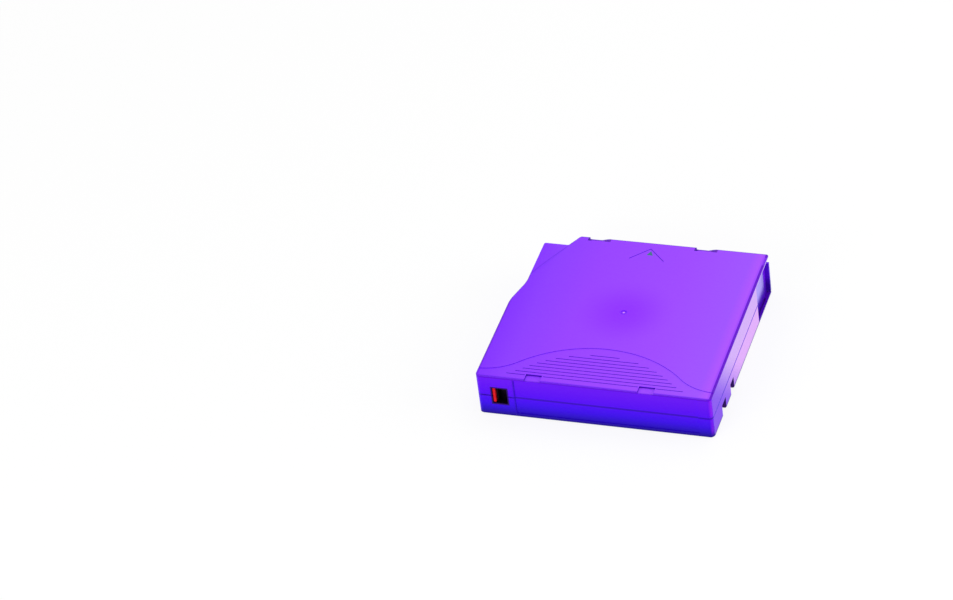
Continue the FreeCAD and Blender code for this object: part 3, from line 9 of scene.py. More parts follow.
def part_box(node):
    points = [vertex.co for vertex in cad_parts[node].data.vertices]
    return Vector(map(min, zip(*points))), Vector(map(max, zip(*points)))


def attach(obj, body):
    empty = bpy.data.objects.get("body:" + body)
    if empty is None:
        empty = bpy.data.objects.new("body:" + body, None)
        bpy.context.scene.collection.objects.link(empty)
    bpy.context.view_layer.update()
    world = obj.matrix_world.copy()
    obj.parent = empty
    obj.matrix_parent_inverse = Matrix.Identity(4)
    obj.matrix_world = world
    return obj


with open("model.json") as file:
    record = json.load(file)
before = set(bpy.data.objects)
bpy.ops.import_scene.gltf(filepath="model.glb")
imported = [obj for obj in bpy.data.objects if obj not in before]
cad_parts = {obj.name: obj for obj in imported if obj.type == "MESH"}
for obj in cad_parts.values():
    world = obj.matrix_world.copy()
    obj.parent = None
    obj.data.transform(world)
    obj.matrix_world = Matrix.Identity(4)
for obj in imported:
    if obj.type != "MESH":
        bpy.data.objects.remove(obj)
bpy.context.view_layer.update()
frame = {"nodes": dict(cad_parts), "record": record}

nodes = frame["nodes"]
MM = 0.001
WHITE = (1.0, 1.0, 1.0, 1.0)

# Places on the case, in millimetres: the front is at +Y and the label face at -Y.
SIDE = 52.7  # half of the width
FRONT = 51.0  # half of the depth
TOP = 21.5
SEAM = 10.8
REEL_Y = 0.8  # the reel turns round the upright line at x = 0 here, and the moulding gate lies on it
WINDOW_LEFT, WINDOW_RIGHT, WINDOW_LOW, WINDOW_HIGH = -45.9, -39.1, 6.6, 14.9  # write protect window
LEDGE = TOP - 1.6  # what faces up above this is roof
# Painted shade goes beside these:
CATCH_ENDS = ((-29.8, -28.5), (19.4, 20.7))  # beside the front catches' upright ends, along X
# Painted shade goes in these notches:
NOTCHES = ((-36.6, -29.9), (-22.3, -16.2))  # in both sides, along Y
# Painted light in the upright corner between the label face and the right side:
CORNER_LIGHT = ((1.0, 0.0), (4.0, 0.5), (11.0, 0.35), (13.0, 0.65), (20.0, 0.65), (20.8, 0.0))  # height and share
CREASE_START, CREASE_END, CREASE_X, CREASE_SLOPE, CREASE_BEND = 23.1, 35.2, -47.9, 0.4876, 0.00401

# Finger tab of the write protect slider, at rest, in millimetres.
slider_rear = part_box("write_protect_slider")[0][1]
TAB_WIDTH = 1.3
TAB_MIDDLE = -45.1
TAB_TIP = 0.35 - FRONT
TAB_ROOT = slider_rear / MM + 0.1
TAB_HEIGHT = 7.9
TAB_HEIGHT_MIDDLE = (WINDOW_LOW + WINDOW_HIGH) / 2

# Camera: turn to the right, look down and tilt in radians, and the object's place as the camera sees it, in metres.
CAMERA_TURN, CAMERA_DOWN, CAMERA_TILT = 0.381679312, 0.660341569, -0.138830252
OBJECT_ASIDE, OBJECT_ABOVE, OBJECT_AWAY = 0.0663959104, -0.0227514781, 1.88258804
IMAGE_WIDTH = 953
FOCAL_LENGTH = 4283.64709  # in the same steps as the image's width
SENSOR_WIDTH = 36.0  # in millimetres


# ---------------------------------------------------------------- node building
class Shades:
    """The node tree of one material or world, with short calls for the nodes used here."""

    def __init__(self, name, kind="materials", output="ShaderNodeOutputMaterial"):
        self.owner = getattr(bpy.data, kind).new(name)
        self.owner.use_nodes = True
        self.tree = self.owner.node_tree
        self.tree.nodes.clear()
        self.output = self.node(output)

    def node(self, kind, **settings):
        made = self.tree.nodes.new(kind)
        for key, value in settings.items():
            setattr(made, key, value)
        return made

    def feed(self, source, socket):
        """Set a socket to a number or colour, or link it to another socket."""
        if isinstance(source, bpy.types.NodeSocket):
            self.tree.links.new(source, socket)
        else:
            socket.default_value = source

    def math(self, operation, *terms, clamp=False):
        made = self.node("ShaderNodeMath", operation=operation, use_clamp=clamp)
        for term, socket in zip(terms, made.inputs):
            self.feed(term, socket)
        return made.outputs[0]

    def over(self, value, limit):
        """1 where the value is over the limit, else 0."""
        return self.math("GREATER_THAN", value, limit)

    def under(self, value, limit):
        """1 where the value is under the limit, else 0."""
        return self.math("LESS_THAN", value, limit)

    def rest(self, share):
        """What is left over from 1."""
        return self.math("SUBTRACT", 1.0, share)

    def all_of(self, *shares):
        """The product of several shares."""
        product = shares[0]
        for share in shares[1:]:
            product = self.math("MULTIPLY", product, share)
        return product

    def ramp(self, value, low, high):
        """0 below low and 1 above high, smooth between."""
        made = self.node("ShaderNodeMapRange", interpolation_type="SMOOTHSTEP")
        for term, name in ((value, "Value"), (low, "From Min"), (high, "From Max")):
            self.feed(term, made.inputs[name])
        return made.outputs[0]

    def within(self, value, low, high, soft=0.15):
        """1 between two numbers and 0 outside them, with a soft change at both."""
        past_low, past_high = (self.ramp(value, limit - soft, limit + soft) for limit in (low, high))
        return self.math("SUBTRACT", past_low, past_high)

    def mix(self, share, first, second):
        made = self.node("ShaderNodeMix", data_type="RGBA")
        self.feed(share, made.inputs["Factor"])
        for term, name in ((first, "A"), (second, "B")):
            self.feed(term, next(item for item in made.inputs if item.name == name and item.type == "RGBA"))
        return next(item for item in made.outputs if item.type == "RGBA")

    def bands(self, value, *stops):
        """Colours that blend into each other as a value goes through the given places."""
        first, last = stops[0][0], stops[-1][0]
        made = self.node("ShaderNodeValToRGB")
        self.feed(self.math("DIVIDE", self.math("SUBTRACT", value, first), last - first), made.inputs[0])
        points = made.color_ramp.elements
        points[0].color, points[-1].color = stops[0][1], stops[-1][1]
        for place, tone in stops[1:-1]:
            points.new((place - first) / (last - first)).color = tone
        return made.outputs[0]

    def split(self, vector):
        """The three numbers of a vector."""
        parts = self.node("ShaderNodeSeparateXYZ")
        self.feed(vector, parts.inputs[0])
        return parts.outputs

    def place(self):
        """The point on the object, as a vector in metres and as three separate numbers in millimetres."""
        where = self.node("ShaderNodeTexCoord").outputs["Object"]
        return where, [self.math("DIVIDE", part, MM) for part in self.split(where)]

    def facing(self):
        """How far the surface faces along each axis of the object."""
        return self.split(self.node("ShaderNodeTexCoord").outputs["Normal"])

    def off_axis(self, x, y):
        """Distance from the reel's axis, seen from above, in millimetres."""
        along = self.math("SUBTRACT", y, REEL_Y)
        return self.math("SQRT", self.math("ADD", self.all_of(x, x), self.all_of(along, along)))

    def noise(self, where, scale, detail=2.0):
        made = self.node("ShaderNodeTexNoise")
        self.feed(where, made.inputs["Vector"])
        made.inputs["Scale"].default_value = scale
        made.inputs["Detail"].default_value = detail
        return made.outputs["Fac"]

    def rings(self, x, y, scale, low, high):
        """Fine rings round the reel's axis: noise that depends on the distance from it alone."""
        line = self.node("ShaderNodeCombineXYZ")
        self.feed(self.off_axis(x, y), line.inputs[0])
        return self.ramp(self.noise(line.outputs[0], scale, 4.0), low, high)

    def bump(self, height, depth, strength):
        """Small relief, with its depth in millimetres."""
        made = self.node("ShaderNodeBump")
        self.feed(height, made.inputs["Height"])
        made.inputs["Distance"].default_value = depth * MM
        made.inputs["Strength"].default_value = strength
        return made.outputs["Normal"]

    def uneven(self, level, spread, share):
        """A level that rises by the spread where the share is 1."""
        return self.math("ADD", self.math("MULTIPLY", share, spread), level)

    def shader(self, kind, **sockets):
        """A shader with the given sockets."""
        made = self.node(kind)
        for name, value in sockets.items():
            self.feed(value, made.inputs[name.replace("_", " ")])
        return made.outputs[0]

    def blend(self, share, first, second):
        """A mix of two shaders."""
        made = self.node("ShaderNodeMixShader")
        for term, socket in zip((share, first, second), made.inputs):
            self.feed(term, socket)
        return made.outputs[0]

    def finish(self, shader):
        """The finished material or world, with the given shader as what it shows."""
        self.feed(shader, self.output.inputs["Surface"])
        return self.owner

    def surface(self, **sockets):
        """The finished material, with a Principled shader that has the given sockets."""
        return self.finish(self.shader("ShaderNodeBsdfPrincipled", **sockets))


class Moulding:
    """Satin plastic: colours laid over each other, and a gloss at shallow angles that each later layer covers."""

    def __init__(self, shades, tone, gloss, gleam):
        self.shades = shades
        self.tone = tone
        facing = shades.node("ShaderNodeLayerWeight").outputs["Facing"]
        self.gloss = shades.all_of(shades.ramp(facing, 0.5, 0.72), gloss)
        self.gleam = gleam

    def lay(self, tone, *shares):
        """One more layer of colour, where the product of the shares is 1."""
        share = self.shades.all_of(*shares)
        self.tone = self.shades.mix(share, self.tone, tone)
        self.gloss = self.shades.all_of(self.gloss, self.shades.rest(share))

    def material(self, where, roughness):
        """The finished material, with a fine moulded grain."""
        shades = self.shades
        common = {"Roughness": roughness, "Normal": shades.bump(shades.noise(where, 2600.0), 0.02, 0.25)}
        body = shades.shader("ShaderNodeBsdfPrincipled", Base_Color=self.tone, Specular_IOR_Level=0.12, **common)
        sheen = shades.shader("ShaderNodeBsdfAnisotropic", Color=self.gleam, **common)
        return shades.finish(shades.blend(self.gloss, body, sheen))


def colour(red, green, blue):
    """A colour written as on screen, 0 to 255, as the linear values that the shaders take."""
    levels = np.array((red, green, blue)) / 255
    linear = np.where(levels <= 0.04045, levels / 12.92, ((levels + 0.055) / 1.055) ** 2.4)
    return (*linear.tolist(), 1.0)


def grey(level):
    return (level, level, level, 1.0)


# ---------------------------------------------------------------- finishes of the violet mouldings
def shaded_wall_tone(shades, z):
    """Violet at the top of the walls, through blue, to a deep blue at the bottom: painted shade, darker towards the
    floor.
    """
    return shades.bands(
        z,
        (0.0, colour(30, 0, 124)),
        (1.2, colour(30, 0, 150)),
        (3.0, colour(40, 0, 198)),
        (6.0, colour(60, 0, 238)),
        (9.0, colour(75, 0, 252)),
        (13.0, colour(92, 0, 254)),
        (19.0, colour(108, 14, 254)),
        (TOP, colour(110, 14, 254)),
    )


def lit_roof_tone(shades, x, y):
    """The roof's violet, lighter than the walls as painted light: it gets pinker to the right, with a painted
    highlight strip by the right edge, deeper round the gate, with a painted shade ring round the gate's dimple and a
    painted highlight in it.
    """
    across = shades.bands(
        x,
        (-52.0, colour(126, 40, 250)),
        (-40.0, colour(136, 54, 252)),
        (-20.0, colour(146, 58, 254)),
        (20.0, colour(152, 66, 254)),
        (46.0, colour(153, 76, 254)),
        # painted highlight strip beside the roof's right edge, then painted shade where the edge rounds
        (50.5, colour(168, 78, 254)),
        (51.6, colour(150, 62, 250)),
    )
    off_gate = shades.off_axis(x, y)
    deeper = shades.all_of(shades.rest(shades.ramp(off_gate, 1.0, 24.0)), 0.75)
    tone = shades.mix(deeper, across, colour(136, 30, 252))
    # painted shade ring round the gate's dimple
    tone = shades.mix(shades.all_of(shades.within(off_gate, 0.6, 1.6), 0.12), tone, colour(92, 0, 210))
    # painted highlight in the gate's dimple
    return shades.mix(shades.under(off_gate, 0.5), tone, colour(212, 132, 255))


def gloss_tint_and_shade(shades, y, z):
    """Tint of a satin wall's gloss: pale lavender, pinker under the seam, and deeper near its low rear end, where
    shade is painted into the gloss.
    """
    pale = shades.mix(shades.ramp(z, SEAM - 1.0, SEAM + 3.0), colour(231, 184, 252), colour(219, 186, 250))
    return shades.mix(shades.ramp(shades.math("ADD", y, z), -30.0, 4.0), colour(149, 104, 242), pale)


def window_rim_shade(shades, x, y, z):
    """1 on the outer wall close round the write protect window, where painted shade makes a dark rim."""
    spare = 0.6
    return shades.all_of(
        shades.within(x, WINDOW_LEFT - spare, WINDOW_RIGHT + spare),
        shades.within(z, WINDOW_LOW - spare, WINDOW_HIGH + spare),
        shades.under(y, 0.2 - FRONT),
    )


def window_bay_shade(shades, x, y, z):
    """1 on the walls behind the write protect window, where near black shade is painted."""
    return shades.all_of(
        shades.within(x, WINDOW_LEFT - 5.0, WINDOW_RIGHT + 2.0),
        shades.within(z, WINDOW_LOW - 2.0, WINDOW_HIGH + 2.0),
        shades.within(y, 0.2 - FRONT, 9.0 - FRONT, 0.05),
    )


def arrow_head(shades, x, y, z):
    """1 in the printed triangle inside the roof's chevron, with its tip to the front."""
    middle, tip, base, half = 0.6, 45.0, 41.9, 1.5
    slant = shades.math("MULTIPLY", shades.math("SUBTRACT", tip, y), half / (tip - base))
    off = shades.math("ABSOLUTE", shades.math("SUBTRACT", x, middle))
    return shades.all_of(shades.under(off, slant), shades.over(y, base), shades.over(z, TOP - 0.1))


def roof_cut_shade(shades, x, y, z, upwards):
    """1 on the walls and bottoms of what is cut into the roof: catches, grip lines, wave edge and chevron, where shade
    is painted.
    """
    off_middle = shades.math("ABSOLUTE", x)
    inside = shades.all_of(
        shades.under(off_middle, SIDE - 1.2), shades.over(z, LEDGE), shades.over(shades.off_axis(x, y), 3.0)
    )
    upright = shades.all_of(
        inside, shades.under(upwards, 0.5), shades.over(y, 0.3 - FRONT), shades.under(y, FRONT - 0.3)
    )
    lines = shades.within(z, TOP - 0.6, TOP - 0.4, 0.02)
    chevron = shades.all_of(
        shades.under(off_middle, 10.0), shades.over(y, 36.0), shades.within(z, TOP - 0.3, TOP - 0.1, 0.02)
    )
    bottoms = shades.all_of(inside, shades.math("MAXIMUM", lines, chevron), shades.over(upwards, 0.5))
    return upright, bottoms


def crease_shade(shades, x, y, upwards):
    """1 along the faint bend over the roof's front left corner, where a line of shade is painted, x = x0 + s (y - y0)
    + c (y - y0)(y - y1).
    """
    first = shades.math("SUBTRACT", y, CREASE_START)
    second = shades.math("SUBTRACT", y, CREASE_END)
    line = shades.math("ADD", shades.math("MULTIPLY", first, CREASE_SLOPE), CREASE_X)
    line = shades.math("ADD", line, shades.math("MULTIPLY", shades.all_of(first, second), CREASE_BEND))
    off = shades.math("ABSOLUTE", shades.math("SUBTRACT", x, line))
    return shades.all_of(
        shades.rest(shades.ramp(off, 0.1, 0.5)), shades.within(y, 18.0, 46.0, 2.0), shades.over(upwards, 0.9)
    )


def lay_edge_shade_and_light(skin, ways, upwards, x, y, z):
    """Painted shade on the rounding of the roof's edges, deep violet on all sides, and painted light in the upright
    corner between the label face and the right side."""
    shades = skin.shades
    # painted shade on the rounded edges of the roof
    rounding = shades.all_of(shades.within(upwards, 0.2, 0.97, 0.02), shades.over(z, TOP - 0.9))
    skin.lay(colour(84, 0, 214), rounding, 0.5)
    # painted shade along the roof's right and left edges, weaker on the left and over the door's lug
    sides = shades.math("ADD", shades.ramp(x, 51.5, 51.8), shades.under(x, -51.6))
    sides = shades.all_of(sides, shades.ramp(z, 20.7, 21.1))
    over_lug = shades.within(y, 42.5, 48.5, 0.8)
    strength = shades.math("ADD", 0.4, shades.math("SUBTRACT", shades.over(x, 0.0), over_lug), clamp=True)
    skin.lay(colour(94, 0, 194), shades.math("MULTIPLY", sides, strength, clamp=True))
    # painted shade, deeper, on the rounding that faces the front or the left
    leftwards = shades.ramp(shades.math("MULTIPLY", ways[0], -1.0), 0.05, 0.3)
    skin.lay(colour(98, 0, 180), shades.math("MAXIMUM", shades.ramp(ways[1], 0.05, 0.3), leftwards), rounding)
    # painted shade along the top of the label face
    rearmost = shades.rest(shades.ramp(y, 0.3 - FRONT, 1.3 - FRONT))
    skin.lay(colour(98, 0, 222), rearmost, shades.ramp(z, 20.1, 20.6), 0.9)
    # painted light in the upright corner between the label face and the right side
    light = shades.bands(z, *((height, grey(share)) for height, share in CORNER_LIGHT))
    cornering = shades.rest(shades.ramp(y, 0.7 - FRONT, 2.4 - FRONT))
    skin.lay(colour(158, 30, 252), shades.ramp(x, 51.0, 52.2), cornering, light)


def lay_roof_shade(skin, roof, upwards, x, y, z):
    """Painted shade along the crease, beside the front catches, along the roof's front edge, and on all that is cut
    into the roof.
    """
    shades = skin.shades
    skin.lay(colour(90, 10, 210), crease_shade(shades, x, y, upwards), 0.45)
    # painted shade on the roof beside the front catches' upright ends
    ends = [shades.within(x, low, high) for low, high in CATCH_ENDS]
    skin.lay(colour(60, 0, 150), shades.math("ADD", *ends), shades.over(y, 48.2), roof)
    # painted shade along the roof's front edge
    skin.lay(colour(90, 0, 170), shades.ramp(y, FRONT - 1.0, FRONT - 0.6), roof, 0.5)
    # painted shade on the walls and bottoms of the roof's cuts
    upright, bottoms = roof_cut_shade(shades, x, y, z, upwards)
    skin.lay(colour(90, 8, 206), bottoms, 0.6)
    skin.lay(colour(56, 0, 150), upright, shades.math("ADD", 0.6, shades.under(z, TOP - 0.55), clamp=True))


def lay_wall_shade_and_seam(skin, sideways, lengthways, x, y, z):
    """Painted shade on the step of the label recess, in the dark notches, on the floor in the shade of the door's
    opening, round the window and behind it; and the seam.
    """
    shades = skin.shades
    # painted shade on the step of the label recess
    step = shades.all_of(shades.within(x, -36.1, -35.3, 0.25), shades.within(z, 2.1, 20.0))
    skin.lay(colour(50, 0, 190), step, shades.under(y, 0.6 - FRONT), 0.6)
    # painted shade in the notches in both sides
    notches = [shades.within(y, low, high) for low, high in NOTCHES]
    deep_in = shades.all_of(shades.over(shades.math("ABSOLUTE", x), 48.5), shades.under(z, 6.5))
    skin.lay(colour(70, 0, 120), deep_in, shades.under(sideways, 0.5), shades.math("ADD", *notches), 0.9)
    outer = shades.over(shades.math("MAXIMUM", sideways, lengthways), 0.5)
    skin.lay(colour(52, 0, 178), shades.within(z, SEAM - 0.55, SEAM + 0.35, 0.2), outer, 0.8)
    # painted shade on the floor under the door's opening
    skin.lay(colour(84, 4, 176), shades.over(x, 46.5), shades.over(y, 28.0), shades.under(z, 3.0), 0.85)
    # painted shade: a dark rim round the window and near black behind it
    skin.lay(colour(44, 0, 110), window_rim_shade(shades, x, y, z))
    skin.lay(colour(14, 4, 20), window_bay_shade(shades, x, y, z))


def case_violet():
    """Satin violet moulding, its roof a lighter tone as painted light, with painted shade in its edges, catches,
    notches and window, and its dark seam.
    """
    shades = Shades("case_violet")
    where, (x, y, z) = shades.place()
    ways = shades.facing()
    sideways, lengthways, upwards = (shades.math("ABSOLUTE", share) for share in ways)
    # painted light: what faces up on top is a lighter, pinker violet than the shaded walls
    roof = shades.all_of(shades.ramp(ways[2], 0.35, 0.9), shades.over(z, LEDGE))
    tone = shades.mix(roof, shaded_wall_tone(shades, z), lit_roof_tone(shades, x, y))
    tone = shades.mix(shades.under(ways[2], -0.95), tone, colour(112, 20, 250))
    gloss = shades.all_of(shades.ramp(z, 0.4, 2.0), shades.rest(shades.all_of(upwards, 0.75)))
    skin = Moulding(shades, tone, gloss, gloss_tint_and_shade(shades, y, z))
    lay_edge_shade_and_light(skin, ways, upwards, x, y, z)
    lay_roof_shade(skin, roof, upwards, x, y, z)
    lay_wall_shade_and_seam(skin, sideways, lengthways, x, y, z)
    skin.lay(colour(64, 110, 130), arrow_head(shades, x, y, z))
    return skin.material(where, 0.34)


def door_violet():
    """The same moulding on the side door: glossy at a shallow angle, deep violet along its foot, where shade is
    painted, and at its front end, where the gloss stops.
    """
    shades = Shades("door_violet")
    where, (_, y, z) = shades.place()
    # painted shade, deep violet towards the door's foot
    foot = shades.ramp(shades.math("SUBTRACT", z, shades.math("MULTIPLY", y, 0.1)), 0.0, 6.0)
    tone = shades.mix(foot, colour(70, 6, 180), colour(104, 14, 226))
    gloss = shades.all_of(foot, shades.under(y, 46.0))
    return Moulding(shades, tone, gloss, colour(189, 174, 255)).material(where, 0.36)


# ---------------------------------------------------------------- finishes of the other pieces
def protect_red():
    """Red moulding: bright on the finger tab, painted near black as shade on the plate behind it, where no light gets
    in.
    """
    shades = Shades("protect_red")
    where, (_, y, _) = shades.place()
    speckle = shades.ramp(shades.noise(where, 900.0), 0.4, 0.7)
    tone = shades.mix(speckle, colour(222, 10, 30), colour(240, 34, 44))
    # painted shade: near black on the plate behind the tab
    tone = shades.mix(shades.ramp(y, TAB_ROOT - 0.2, TAB_ROOT - 0.12), tone, colour(14, 2, 8))
    return shades.surface(Base_Color=tone, Roughness=0.5, Specular_IOR_Level=0.12)


def moulded_finish(name, tone, worn, roughness, grain=0.03):
    """Moulded plastic: a fine eroded grain, and soft clouds of a second tone where it has been handled."""
    shades = Shades(name)
    where, _ = shades.place()
    clouds = shades.ramp(shades.noise(where, 140.0, 4.0), 0.42, 0.68)
    skin = shades.bump(shades.noise(where, 1800.0, 3.0), grain, 0.5)
    sheen = shades.uneven(roughness, 0.1, clouds)
    return shades.surface(Base_Color=shades.mix(clouds, tone, worn), Roughness=sheen, Normal=skin)


def drawn_steel(name, bright, dull, roughness, along):
    """Drawn or rolled metal: fine streaks along one axis, brighter where they are burnished."""
    shades = Shades(name)
    where, _ = shades.place()
    stretch = shades.node("ShaderNodeMapping")
    shades.feed(where, stretch.inputs["Vector"])
    stretch.inputs["Scale"].default_value = [0.05 if axis == along else 1.0 for axis in "XYZ"]
    streaks = shades.ramp(shades.noise(stretch.outputs[0], 4000.0, 3.0), 0.35, 0.65)
    return shades.surface(
        Base_Color=shades.mix(streaks, bright, dull),
        Metallic=1.0,
        Roughness=shades.uneven(roughness, 0.14, streaks),
        Normal=shades.bump(streaks, 0.004, 0.4),
    )


def turned_steel():
    """Stamped magnetic plate with rings from the tool that faced it."""
    shades = Shades("plate_steel")
    _, (x, y, _) = shades.place()
    rings = shades.rings(x, y, 9.0, 0.35, 0.65)
    return shades.surface(
        Base_Color=shades.mix(rings, colour(194, 194, 190), colour(166, 166, 164)),
        Metallic=1.0,
        Roughness=shades.uneven(0.3, 0.12, rings),
        Normal=shades.bump(rings, 0.006, 0.5),
    )


def wound_tape():
    """Edges of the wound tape: dark brown with a fine sheen of rings, a few turns standing proud."""
    shades = Shades("tape_film")
    _, (x, y, _) = shades.place()
    fine = shades.rings(x, y, 6.0, 0.38, 0.62)
    broad = shades.rings(x, y, 0.5, 0.45, 0.6)
    tone = shades.mix(fine, colour(24, 20, 19), colour(44, 37, 34))
    tone = shades.mix(shades.all_of(broad, 0.4), tone, colour(60, 52, 48))
    rough = shades.uneven(0.16, 0.16, fine)
    return shades.surface(Base_Color=tone, Roughness=rough, Normal=shades.bump(fine, 0.01, 0.4))


def leader_tape():
    """Coated tape: near black brown, glossy, with faint streaks."""
    shades = Shades("leader_film")
    where, _ = shades.place()
    streaks = shades.ramp(shades.noise(where, 300.0, 3.0), 0.4, 0.65)
    tone = shades.mix(streaks, colour(26, 22, 20), colour(40, 33, 30))
    return shades.surface(Base_Color=tone, Roughness=shades.uneven(0.14, 0.1, streaks))


def laminate():
    """Solder mask over a woven board: a square weave, sin(k (x + y)) sin(k (z - y)), shows through the green."""
    shades = Shades("board_laminate")
    _, (x, y, z) = shades.place()
    thread = 0.5
    ways = (shades.math("ADD", x, y), shades.math("SUBTRACT", z, y))
    warp, weft = (shades.math("SINE", shades.math("MULTIPLY", way, 2.0 * math.pi / thread)) for way in ways)
    weave = shades.ramp(shades.all_of(warp, weft), -0.6, 0.6)
    tone = shades.mix(weave, colour(18, 78, 40), colour(28, 94, 50))
    return shades.surface(Base_Color=tone, Roughness=0.32, Normal=shades.bump(weave, 0.01, 0.3))


finishes = {
    "case_plastic": case_violet(),
    "door_plastic": door_violet(),
    "protect_plastic": protect_red(),
    "reel_plastic": moulded_finish("reel_grey", colour(206, 207, 210), colour(190, 191, 195), 0.4),
    "brake_plastic": moulded_finish("brake_white", colour(228, 228, 224), colour(214, 213, 206), 0.4),
    "release_plastic": moulded_finish("release_white", colour(222, 222, 217), colour(206, 205, 198), 0.4),
    "screw_steel": drawn_steel("screw_steel", colour(198, 198, 200), colour(150, 150, 153), 0.26, "X"),
    "spring_steel": drawn_steel("spring_steel", colour(192, 192, 194), colour(150, 150, 154), 0.22, "Z"),
    "leaf_steel": drawn_steel("leaf_steel", colour(200, 200, 202), colour(170, 170, 173), 0.2, "X"),
    "pin_steel": drawn_steel("pin_steel", colour(206, 206, 208), colour(182, 182, 184), 0.12, "Z"),
    "plate_steel": turned_steel(),
    "tape_film": wound_tape(),
    "leader_film": leader_tape(),
    "clamp_plastic": moulded_finish("clamp_black", colour(24, 24, 25), colour(38, 38, 40), 0.36, grain=0.02),
    "board_laminate": laminate(),
    "coil_copper": drawn_steel("coil_copper", colour(206, 146, 92), colour(176, 118, 70), 0.28, "Z"),
    "chip_resin": moulded_finish("chip_black", colour(17, 17, 18), colour(28, 28, 29), 0.5),
}
for part in frame["record"]["subparts"]:
    mesh = nodes[part["node"]].data
    mesh.materials.clear()
    mesh.materials.append(finishes[part["material_slot"]])


# ---------------------------------------------------------------- finger tab of the write protect slider
def add_object(name, data):
    made = bpy.data.objects.new(name, data)
    bpy.context.scene.collection.objects.link(made)
    return made


def finger_tab():
    """Red tab that stands from the slider into the window. Its section is a superellipse, |cos|^p along X and |sin|^p
    along Y, carried up Z. Its outer side goes in and out with a cosine of the height, which makes the finger ribs, and
    the section shrinks as (1 - |h|^10)^0.1 towards both ends, where h goes from -1 to 1 over the height."""
    power, ribs, rib_depth = 0.35, 7.0, 0.3
    turn = np.linspace(0.0, 2.0 * np.pi, 40, endpoint=False)[None, :]
    rise = np.linspace(-1.0, 1.0, 161)[:, None]
    across = np.sign(np.cos(turn)) * np.abs(np.cos(turn)) ** power
    outwards = np.sign(np.sin(turn)) * np.abs(np.sin(turn)) ** power
    end = np.maximum(1.0 - np.abs(rise) ** 10, 0.02) ** 0.1
    reach = 1.0 - rib_depth * (0.5 + 0.5 * np.cos(2.0 * np.pi * ribs * rise)) * (outwards < 0)
    x = TAB_MIDDLE + TAB_WIDTH / 2 * end * across
    y = (TAB_ROOT + TAB_TIP) / 2 + (TAB_ROOT - TAB_TIP) / 2 * end * outwards * reach
    z = TAB_HEIGHT_MIDDLE + TAB_HEIGHT / 2 * rise + 0.0 * turn
    points = np.stack([x, y, z], axis=-1).reshape(-1, 3) * MM
    rows, columns = rise.size, turn.size
    row, column = np.meshgrid(np.arange(rows - 1), np.arange(columns), indexing="ij")
    low, high, beside = row * columns, (row + 1) * columns, (column + 1) % columns
    corners = (low + column, low + beside, high + beside, high + column)
    sides = np.stack(corners, axis=-1).reshape(-1, 4).tolist()
    caps = [list(range(columns))[::-1], list(range((rows - 1) * columns, rows * columns))]
    mesh = bpy.data.meshes.new("protect_finger_tab")
    mesh.from_pydata(points.tolist(), [], sides + caps)
    mesh.shade_smooth()
    mesh.materials.append(finishes["protect_plastic"])
    piece = add_object("protect_finger_tab", mesh)
    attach(piece, "protect_tab")


finger_tab()


# ---------------------------------------------------------------- floor, light and camera
def seen_share(shades):
    """1 for what the camera, a reflection or a see-through piece shows, 0 for light that falls on things."""
    rays = shades.node("ShaderNodeLightPath").outputs
    share = shades.math("MAXIMUM", rays["Is Camera Ray"], rays["Is Glossy Ray"])
    return shades.math("MAXIMUM", share, rays["Is Transmission Ray"])


def pale_floor():
    """White where it is seen, a little grey in the object's shadow, and grey for the light that it throws back. From
    below it is clear, so that the underside shows."""
    shades = Shades("pale_floor")
    share = seen_share(shades)
    matt = shades.shader("ShaderNodeBsdfDiffuse", Color=grey(0.95))
    glow = shades.shader("ShaderNodeEmission", Color=shades.mix(share, grey(0.42), WHITE))
    top = shades.blend(shades.rest(shades.all_of(share, 0.14)), matt, glow)
    below = shades.node("ShaderNodeNewGeometry").outputs["Backfacing"]
    return shades.finish(shades.blend(below, top, shades.shader("ShaderNodeBsdfTransparent")))


def make_floor(size, level):
    """A square floor, with half of its side and its height in metres."""
    mesh = bpy.data.meshes.new("floor")
    corners = [(-size, -size, level), (size, -size, level), (size, size, level), (-size, size, level)]
    mesh.from_pydata(corners, [], [(0, 1, 2, 3)])
    mesh.materials.append(pale_floor())
    floor = add_object("floor", mesh)


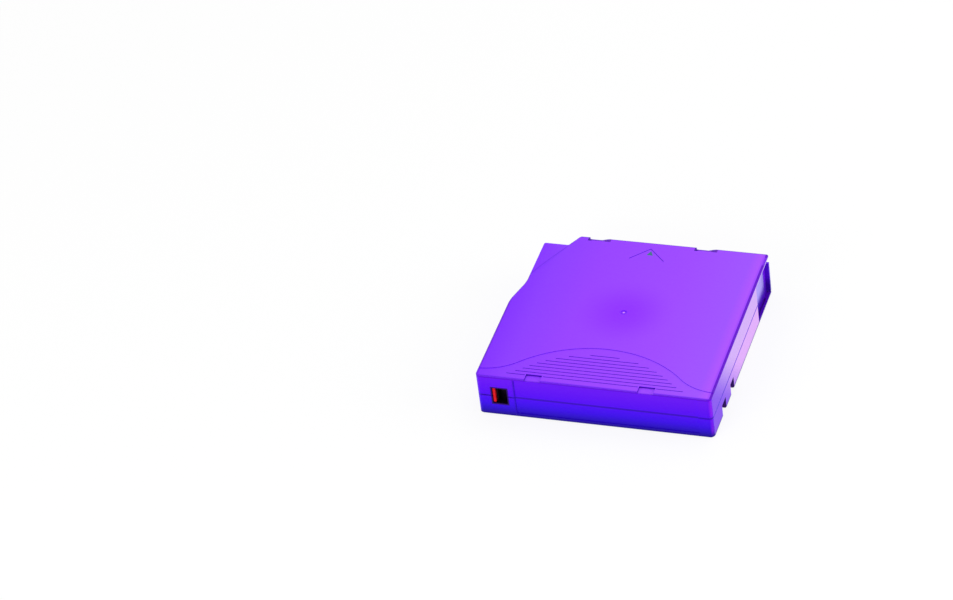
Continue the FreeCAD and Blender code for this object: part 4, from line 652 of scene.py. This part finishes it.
def make_world(level):
    """White where it is seen, and an even soft light for everything else."""
    shades = Shades("studio", "worlds", "ShaderNodeOutputWorld")
    strength = shades.uneven(level, 1.0 - level, seen_share(shades))
    bpy.context.scene.world = shades.finish(shades.shader("ShaderNodeBackground", Color=WHITE, Strength=strength))


def make_softbox(name, place, width, power):
    """A square area lamp that faces the object."""
    lamp = bpy.data.lights.new(name, "AREA")
    lamp.shape = "SQUARE"
    lamp.size = width
    lamp.energy = power
    way = Vector((0, 0, 0.01)) - Vector(place)
    turned = way.to_track_quat("-Z", "Y").to_matrix().to_4x4()
    add_object(name, lamp).matrix_world = Matrix.Translation(place) @ turned


def make_camera():
    """Camera turned to the right, looking down, tilted a little, with the object right of the middle."""
    level, down = math.cos(CAMERA_DOWN), math.sin(CAMERA_DOWN)
    back = np.array((math.sin(CAMERA_TURN) * level, -math.cos(CAMERA_TURN) * level, down))
    right = np.array((math.cos(CAMERA_TURN), math.sin(CAMERA_TURN), 0.0))
    up = np.cross(back, right)
    across = math.cos(CAMERA_TILT) * right + math.sin(CAMERA_TILT) * up
    upwards = math.cos(CAMERA_TILT) * up - math.sin(CAMERA_TILT) * right
    lens = bpy.data.cameras.new("camera")
    lens.sensor_width = SENSOR_WIDTH
    lens.lens = FOCAL_LENGTH / IMAGE_WIDTH * SENSOR_WIDTH
    lens.clip_start = 0.05
    axes = np.eye(4)
    axes[:3, 0], axes[:3, 1], axes[:3, 2] = across, upwards, back
    axes[:3, 3] = OBJECT_AWAY * back - OBJECT_ASIDE * across - OBJECT_ABOVE * upwards
    camera = add_object("camera", lens)
    camera.matrix_world = Matrix(axes.tolist())
    bpy.context.scene.camera = camera


make_floor(6.0, -0.05 * MM)
make_world(0.7)
make_softbox("softbox_over", (0.25, 0.5, 1.1), 0.9, 2.6)
make_softbox("softbox_rear", (-0.4, -1.0, 0.4), 0.6, 5.4)
make_softbox("softbox_right", (1.0, 0.1, 0.35), 0.6, 4.6)
make_camera()

scene = bpy.context.scene
scene.view_settings.view_transform = "Standard"
